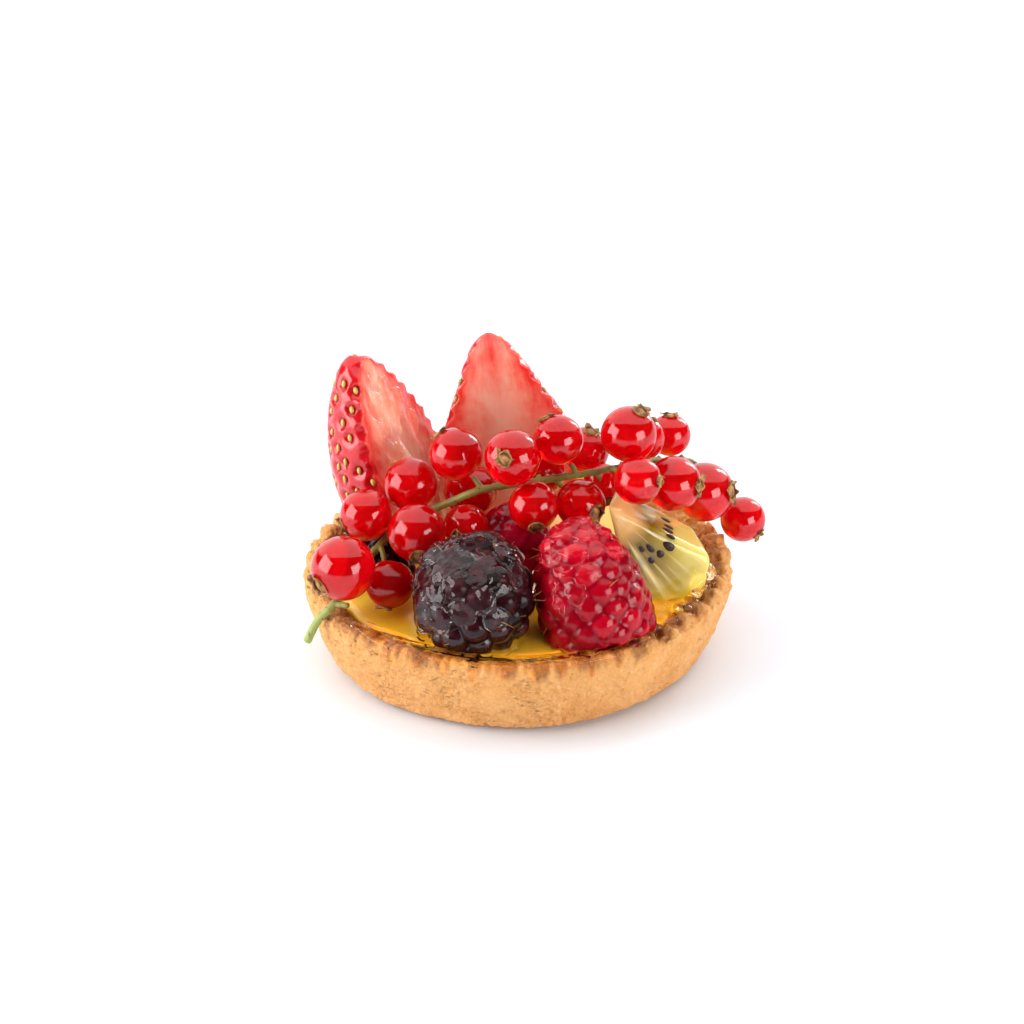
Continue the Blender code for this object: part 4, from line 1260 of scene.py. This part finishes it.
# %% Currant finishes
currant_skin = Finish(
    "currant_skin", Roughness=0.02, IOR=1.5, Transmission_Weight=0.5,
    Subsurface_Weight=0.9, Subsurface_Radius=(1.0, 0.02, 0.02), Subsurface_Scale=3.5 * MM,
)
juice = currant_skin.grain(170.0, 2.0)
juice_tone = currant_skin.blend(currant_skin.ranged(juice, 0.35, 0.7), (0.84, 0.0, 0.004), (0.68, 0.0, 0.003))
veins = currant_skin.grain(1.0, 2.0, 0.5, stretch=(9.0, 1.0, 1.0), coords=currant_skin.attribute("meridian", "Vector"))
currant_skin.colour(currant_skin.blend(currant_skin.ranged(veins, 0.56, 0.72, 0.0, 0.35), juice_tone, (1.0, 0.03, 0.02)))
currant_skin.bump(currant_skin.grain(200.0, 2.0), 0.15 * MM, 0.12)

dry_petal = Finish("dry_petal", Roughness=0.65)
petal_cloud = dry_petal.grain(900.0, 4.0, 0.65)
dry_petal.colour(dry_petal.blend(dry_petal.ranged(petal_cloud, 0.36, 0.66), (0.56, 0.27, 0.07), (0.09, 0.025, 0.009)))
dry_petal.bump(petal_cloud, 0.25 * MM, 0.8)
print("currant finishes:", currant_skin.material.name, dry_petal.material.name)


# %% Berries and their dry flowers
def dry_flower(radius, seed):
    """A little cup whose rim is drawn out into five uneven shrivelled petals, pointing up from the origin."""
    draw = random.Random(seed)
    shape = bmesh.new()
    cup = bmesh.ops.create_cone(
        shape, cap_ends=False, segments=20, radius1=0.15 * radius, radius2=0.22 * radius, depth=0.12 * radius
    )
    bmesh.ops.translate(shape, verts=cup["verts"], vec=(0.0, 0.0, 0.03 * radius))
    top = [edge for edge in shape.edges if all(vert.co.z > 0.05 * radius for vert in edge.verts)]
    lengths = [draw.uniform(0.7, 1.2) for _ in range(5)]
    curls = [draw.uniform(-0.4, 1.6) for _ in range(5)]
    for stage in range(4):
        grown = bmesh.ops.extrude_edge_only(shape, edges=top)
        top = [item for item in grown["geom"] if isinstance(item, bmesh.types.BMEdge)]
        verts = {vert for edge in top for vert in edge.verts}
        top = [edge for edge in top if all(vert in verts for vert in edge.verts)]
        for vert in verts:
            angle = math.atan2(vert.co.y, vert.co.x) % math.tau
            petal = int(angle / math.tau * 5.0) % 5
            ridge = 0.5 - 0.5 * math.cos(5.0 * angle)
            out = Vector((vert.co.x, vert.co.y, 0.0)).normalized()
            step = 0.065 * radius * lengths[petal] * (0.25 + 0.75 * ridge)
            bend = curls[petal] * (stage - 0.6) * 0.5
            vert.co += out * step * bend + UP * step
            vert.co += noise.noise_vector(vert.co * 900.0 + Vector((seed, 0, 0))) * 0.05 * radius
    bmesh.ops.recalc_face_normals(shape, faces=shape.faces)
    bmesh.ops.solidify(shape, geom=shape.faces[:], thickness=0.035 * radius)
    for vert in shape.verts:
        vert.co *= min(1.0, 0.50 * radius / max(vert.co.length, 1e-9))
    pad = bmesh.ops.create_icosphere(shape, subdivisions=2, radius=0.19 * radius)
    for vert in pad["verts"]:
        vert.co.z = vert.co.z * 0.7 + 0.05 * radius
        vert.co += noise.noise_vector(vert.co * 1500.0) * 0.06 * radius
    return shape


def currant(node, seed):
    centre, radius, flower = CURRANTS[node]
    shape = bmesh.new()
    bmesh.ops.create_uvsphere(shape, u_segments=56, v_segments=36, radius=radius)
    stalk_dip = 0.10 * radius
    for vertex in shape.verts:
        height = vertex.co.z / radius
        flat = math.hypot(vertex.co.x, vertex.co.y) / radius
        dip = math.exp(-((flat / 0.2) ** 2))
        vertex.co.z -= stalk_dip * dip * (0.5 if height > 0.0 else -1.0)
        vertex.co *= 1.0 + 0.006 * math.sin(3.0 * math.atan2(vertex.co.y, vertex.co.x) + seed)
    turn = UP.rotation_difference(flower).to_matrix().to_4x4()
    placing = Matrix.Translation(centre) @ turn
    bmesh.ops.transform(shape, matrix=placing, verts=shape.verts)
    berry = new_piece(f"{node}_berry", shape, currant_skin.material, dry_petal.material)
    tuft = dry_flower(radius, seed)
    bmesh.ops.transform(
        tuft, matrix=placing @ Matrix.Translation((0.0, 0.0, 0.92 * radius)) @ Matrix.Diagonal((1.25, 1.25, 0.6, 1.0)),
        verts=tuft.verts,
    )
    join_into(berry, tuft, 1)
    back = placing.inverted()
    local = [back @ vertex.co / radius for vertex in berry.data.vertices]
    meridian = [(math.cos(math.atan2(p.y, p.x)) + seed, math.sin(math.atan2(p.y, p.x)), p.z) for p in local]
    note(berry, "meridian", meridian)
    settle_on_tart(berry, "currant_skin", node)


for number, node in enumerate(CURRANTS, start=1):
    currant(node, number)

# %% [markdown]
# ## The stem
# The sprig's stem and its short stalks are one green woody piece, and its route is already right in the solid.
# A copy of that mesh is merged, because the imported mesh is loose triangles, and remeshed finely, so that the
# joints between stem and stalks flow into each other. Fine ribs along it come from noise.

# %% Stem
sprig_shape = bmesh.new()
sprig_shape.from_mesh(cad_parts["currant_sprig"].data)
bmesh.ops.remove_doubles(sprig_shape, verts=sprig_shape.verts, dist=0.005 * MM)
bark = Finish("green_stem", Roughness=0.5, Subsurface_Weight=0.1, Subsurface_Radius=(0.6, 1.0, 0.2), Subsurface_Scale=MM)
bark_cloud = bark.grain(260.0, 4.0, 0.6)
bark_tone = bark.blend(bark.ranged(bark_cloud, 0.35, 0.65), (0.27, 0.28, 0.04), (0.20, 0.11, 0.02))
bark_tone = bark.blend(bark.ranged(bark.part(bark.place, "X"), -0.036, -0.028, 0.8, 0.0), bark_tone, (0.36, 0.46, 0.12))
bark.colour(bark.blend(bark.ranged(bark.grain(1300.0), 0.6, 0.72), bark_tone, (0.13, 0.05, 0.015)))
bark.bump(bark.grain(900.0, 4.0), 0.2 * MM, 0.7)
sprig = new_piece("sprig_stem", sprig_shape, bark.material)
one_skin(sprig, 0.17 * MM)
smooth_points(sprig, 4)
sprig_points = points_of(sprig)
ribs = np.array([noise.fractal(Vector(point) * 700.0, 1.0, 2.0, 3) for point in sprig_points]) * 0.08 * MM
place_points(sprig, sprig_points + normals_of(sprig) * (ribs + 0.06 * MM)[:, None])
settle_on_tart(sprig, "green_stem", "currant_sprig")

# %% [markdown]
# ## Clear jelly
# A fruit tart is brushed with warm jelly that sets clear and pale yellow. It lies as a film on the front of the
# rim, runs down in the grooves, fills the corner beside the kiwi and gathers round the feet of the berries. Many
# flat drops are placed there and melted into one skin, the way real drops run together.

# %% Drops that run together
jelly_shape = bmesh.new()
glaze_shape = bmesh.new()
jelly_draw = random.Random(31)


def drop(x, y, z, wide, deep, high, turn=0.0, shape=jelly_shape):
    """One flattened drop, in millimetres: its middle and its half sizes."""
    place = Matrix.Translation(Vector((x, y, z)) * MM) @ Matrix.Rotation(turn, 4, "Z")
    bmesh.ops.create_icosphere(
        shape, subdivisions=3, radius=MM, matrix=place @ Matrix.Diagonal((wide, deep, high, 1.0))
    )


def glaze(node, towards, from_share, wide, deep, lift):
    """Jelly over the side of a berry that faces one way: a flat drop on each bead there, wide enough to meet."""
    spheres = BEADS[node]
    heart = sum((middle for middle, _ in spheres), Vector()) / len(spheres)
    towards = Vector(towards).normalized()
    for middle, radius in spheres:
        out = (middle - heart).normalized()
        if out.dot(towards) + 0.25 * noise.noise(middle * 300.0) < from_share or middle.z < 16.0 * MM:
            continue
        turn = UP.rotation_difference(out).to_matrix().to_4x4()
        raised = lift + jelly_draw.uniform(-0.3, 0.35)
        place = Matrix.Translation(middle + out * (radius + (raised - deep) * MM)) @ turn
        flat = Matrix.Diagonal((wide * jelly_draw.uniform(0.8, 1.1), wide * jelly_draw.uniform(0.8, 1.1), deep, 1.0))
        bmesh.ops.create_icosphere(glaze_shape, subdivisions=3, radius=MM, matrix=place @ flat)


def film_on_cut(name, count, low, high, wide, deep):
    """Thin streaks of jelly, stretched along the berry, on the cut face of a half strawberry."""
    start, facing, side, axis, cut_offset, profile = CUT_FACES[name]
    turn = Matrix((side, axis, facing)).transposed().to_4x4()
    for _ in range(count):
        height = STRAWBERRY_LENGTH * jelly_draw.uniform(low, high)
        reach = 0.62 * float(radius_at(profile, height)) * jelly_draw.uniform(-1.0, 1.0)
        place = Matrix.Translation(start + axis * height + side * reach + facing * cut_offset) @ turn
        size = jelly_draw.uniform(0.7, 1.2)
        flat = Matrix.Diagonal((wide * size, 2.2 * wide * size, deep, 1.0))
        bmesh.ops.create_icosphere(glaze_shape, subdivisions=3, radius=MM, matrix=place @ flat)


def on_rim(angle, radius_mm):
    radius = radius_mm + wobble(angle) / MM
    return radius * math.cos(angle), radius * math.sin(angle)


FILM_FROM, FILM_TO, FILM_DROPS = math.radians(-138.0), math.radians(-54.0), 44
for step in range(FILM_DROPS):
    angle = FILM_FROM + (FILM_TO - FILM_FROM) * step / (FILM_DROPS - 1)
    ends = 0.45 + 0.55 * smooth_step(min(step, FILM_DROPS - 1 - step) / 6.0)
    x, y = on_rim(angle, 35.3)
    drop(x, y, 15.1, 2.2 * ends, 2.6, 0.6, angle)
    x, y = on_rim(angle, 32.6)
    drop(x, y, 14.35, 1.7 * ends, 2.2, 0.55, angle)
for number in range(FLUTES):
    angle = math.tau * number / FLUTES
    angle = angle - math.tau if angle > math.pi else angle
    if FILM_FROM + 0.1 < angle < FILM_TO - 0.1:
        x, y = on_rim(angle, 37.05)
        long = 0.8 + 0.7 * DEPTHS[number] * jelly_draw.uniform(0.6, 1.2)
        drop(x, y, 14.7 - long * 0.75, 0.42, 0.9, long, angle)
for _ in range(40):
    angle = math.radians(jelly_draw.uniform(-50.0, -4.0))
    radius = jelly_draw.uniform(27.0, 34.0)
    size = jelly_draw.uniform(1.2, 2.8)
    drop(radius * math.cos(angle), radius * math.sin(angle), 14.2, size, size * 0.8, jelly_draw.uniform(0.8, 2.1), angle)
for _ in range(9):
    drop(
        31.5 + jelly_draw.uniform(-1.0, 1.6), -11.5 + jelly_draw.uniform(-1.0, 4.0), 17.5 + jelly_draw.uniform(-2.5, 2.5),
        1.3, 1.8, 1.6, shape=glaze_shape,
    )
for foot_x, foot_y, ring, tall in ((-7.7, -23.4, 8.3, 1.3), (14.1, -22.8, 8.8, 1.3)):
    for step in range(20):
        angle = math.tau * step / 20
        size = jelly_draw.uniform(1.1, 1.9)
        x, y = foot_x + ring * math.cos(angle), foot_y + ring * math.sin(angle)
        if math.hypot(x, y) < 33.5:
            drop(x, y, 14.3, size, size, tall * jelly_draw.uniform(0.6, 1.3))
glaze("bramble_front", (-0.35, -0.35, 1.0), 0.30, 2.9, 0.75, 0.22)
glaze("raspberry_front", (-0.8, -0.3, 0.9), 0.50, 2.7, 0.6, 0.12)
film_on_cut("strawberry_side_half", 30, 0.25, 0.9, 1.3, 0.42)
print("drops of jelly placed:", (len(jelly_shape.verts) + len(glaze_shape.verts)) // 162)

# %% [markdown]
# Jelly that lies thick on pastry looks amber, and the thin glaze on the fruit is nearly colourless, so there are
# two finishes. Real glaze is never even, so its skin gets ripples a quarter of a millimetre high, which break up
# the reflection of the lights. Light passes through clear jelly, so neither piece throws a shadow.

# %% Jelly finish
def jelly_finish(name, thin, thick):
    finish = Finish(name, Roughness=0.02, IOR=1.36, Transmission_Weight=1.0)
    finish.colour(finish.blend(finish.grain(150.0), thin, thick))
    finish.bump(finish.grain(380.0, 2.0), 0.12 * MM, 0.2)
    return finish


def jelly_piece(name, shape, finish, ripple):
    piece = new_piece(name, shape, finish.material)
    one_skin(piece, 0.24 * MM)
    smooth_points(piece, 5)
    points = points_of(piece)
    ripples = np.array([noise.fractal(Vector(point) * 420.0, 1.0, 2.0, 2) for point in points]) * ripple
    place_points(piece, points + normals_of(piece) * ripples[:, None])
    piece.visible_shadow = False
    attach(piece, "root")
    print(name, "has", sum(len(face.vertices) - 2 for face in piece.data.polygons), "triangles")


jelly_piece("jelly_film", jelly_shape, jelly_finish("amber_jelly", (1.0, 0.80, 0.46), (1.0, 0.72, 0.34)), 0.08 * MM)
jelly_piece("jelly_glaze", glaze_shape, jelly_finish("clear_jelly", (1.0, 0.97, 0.94), (1.0, 0.94, 0.88)), 0.36 * MM)

# %% [markdown]
# ## The size
# Both boxes are measured, and the last line prints how far the dressed tart reaches past the CAD box on each side.

# %% Both boxes
low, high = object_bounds()
{"cad": [list(cad_low), list(cad_high)], "visual": [list(low), list(high)]}
print("box grew by mm:", [round(x / MM, 2) for x in cad_low - low], [round(x / MM, 2) for x in high - cad_high])
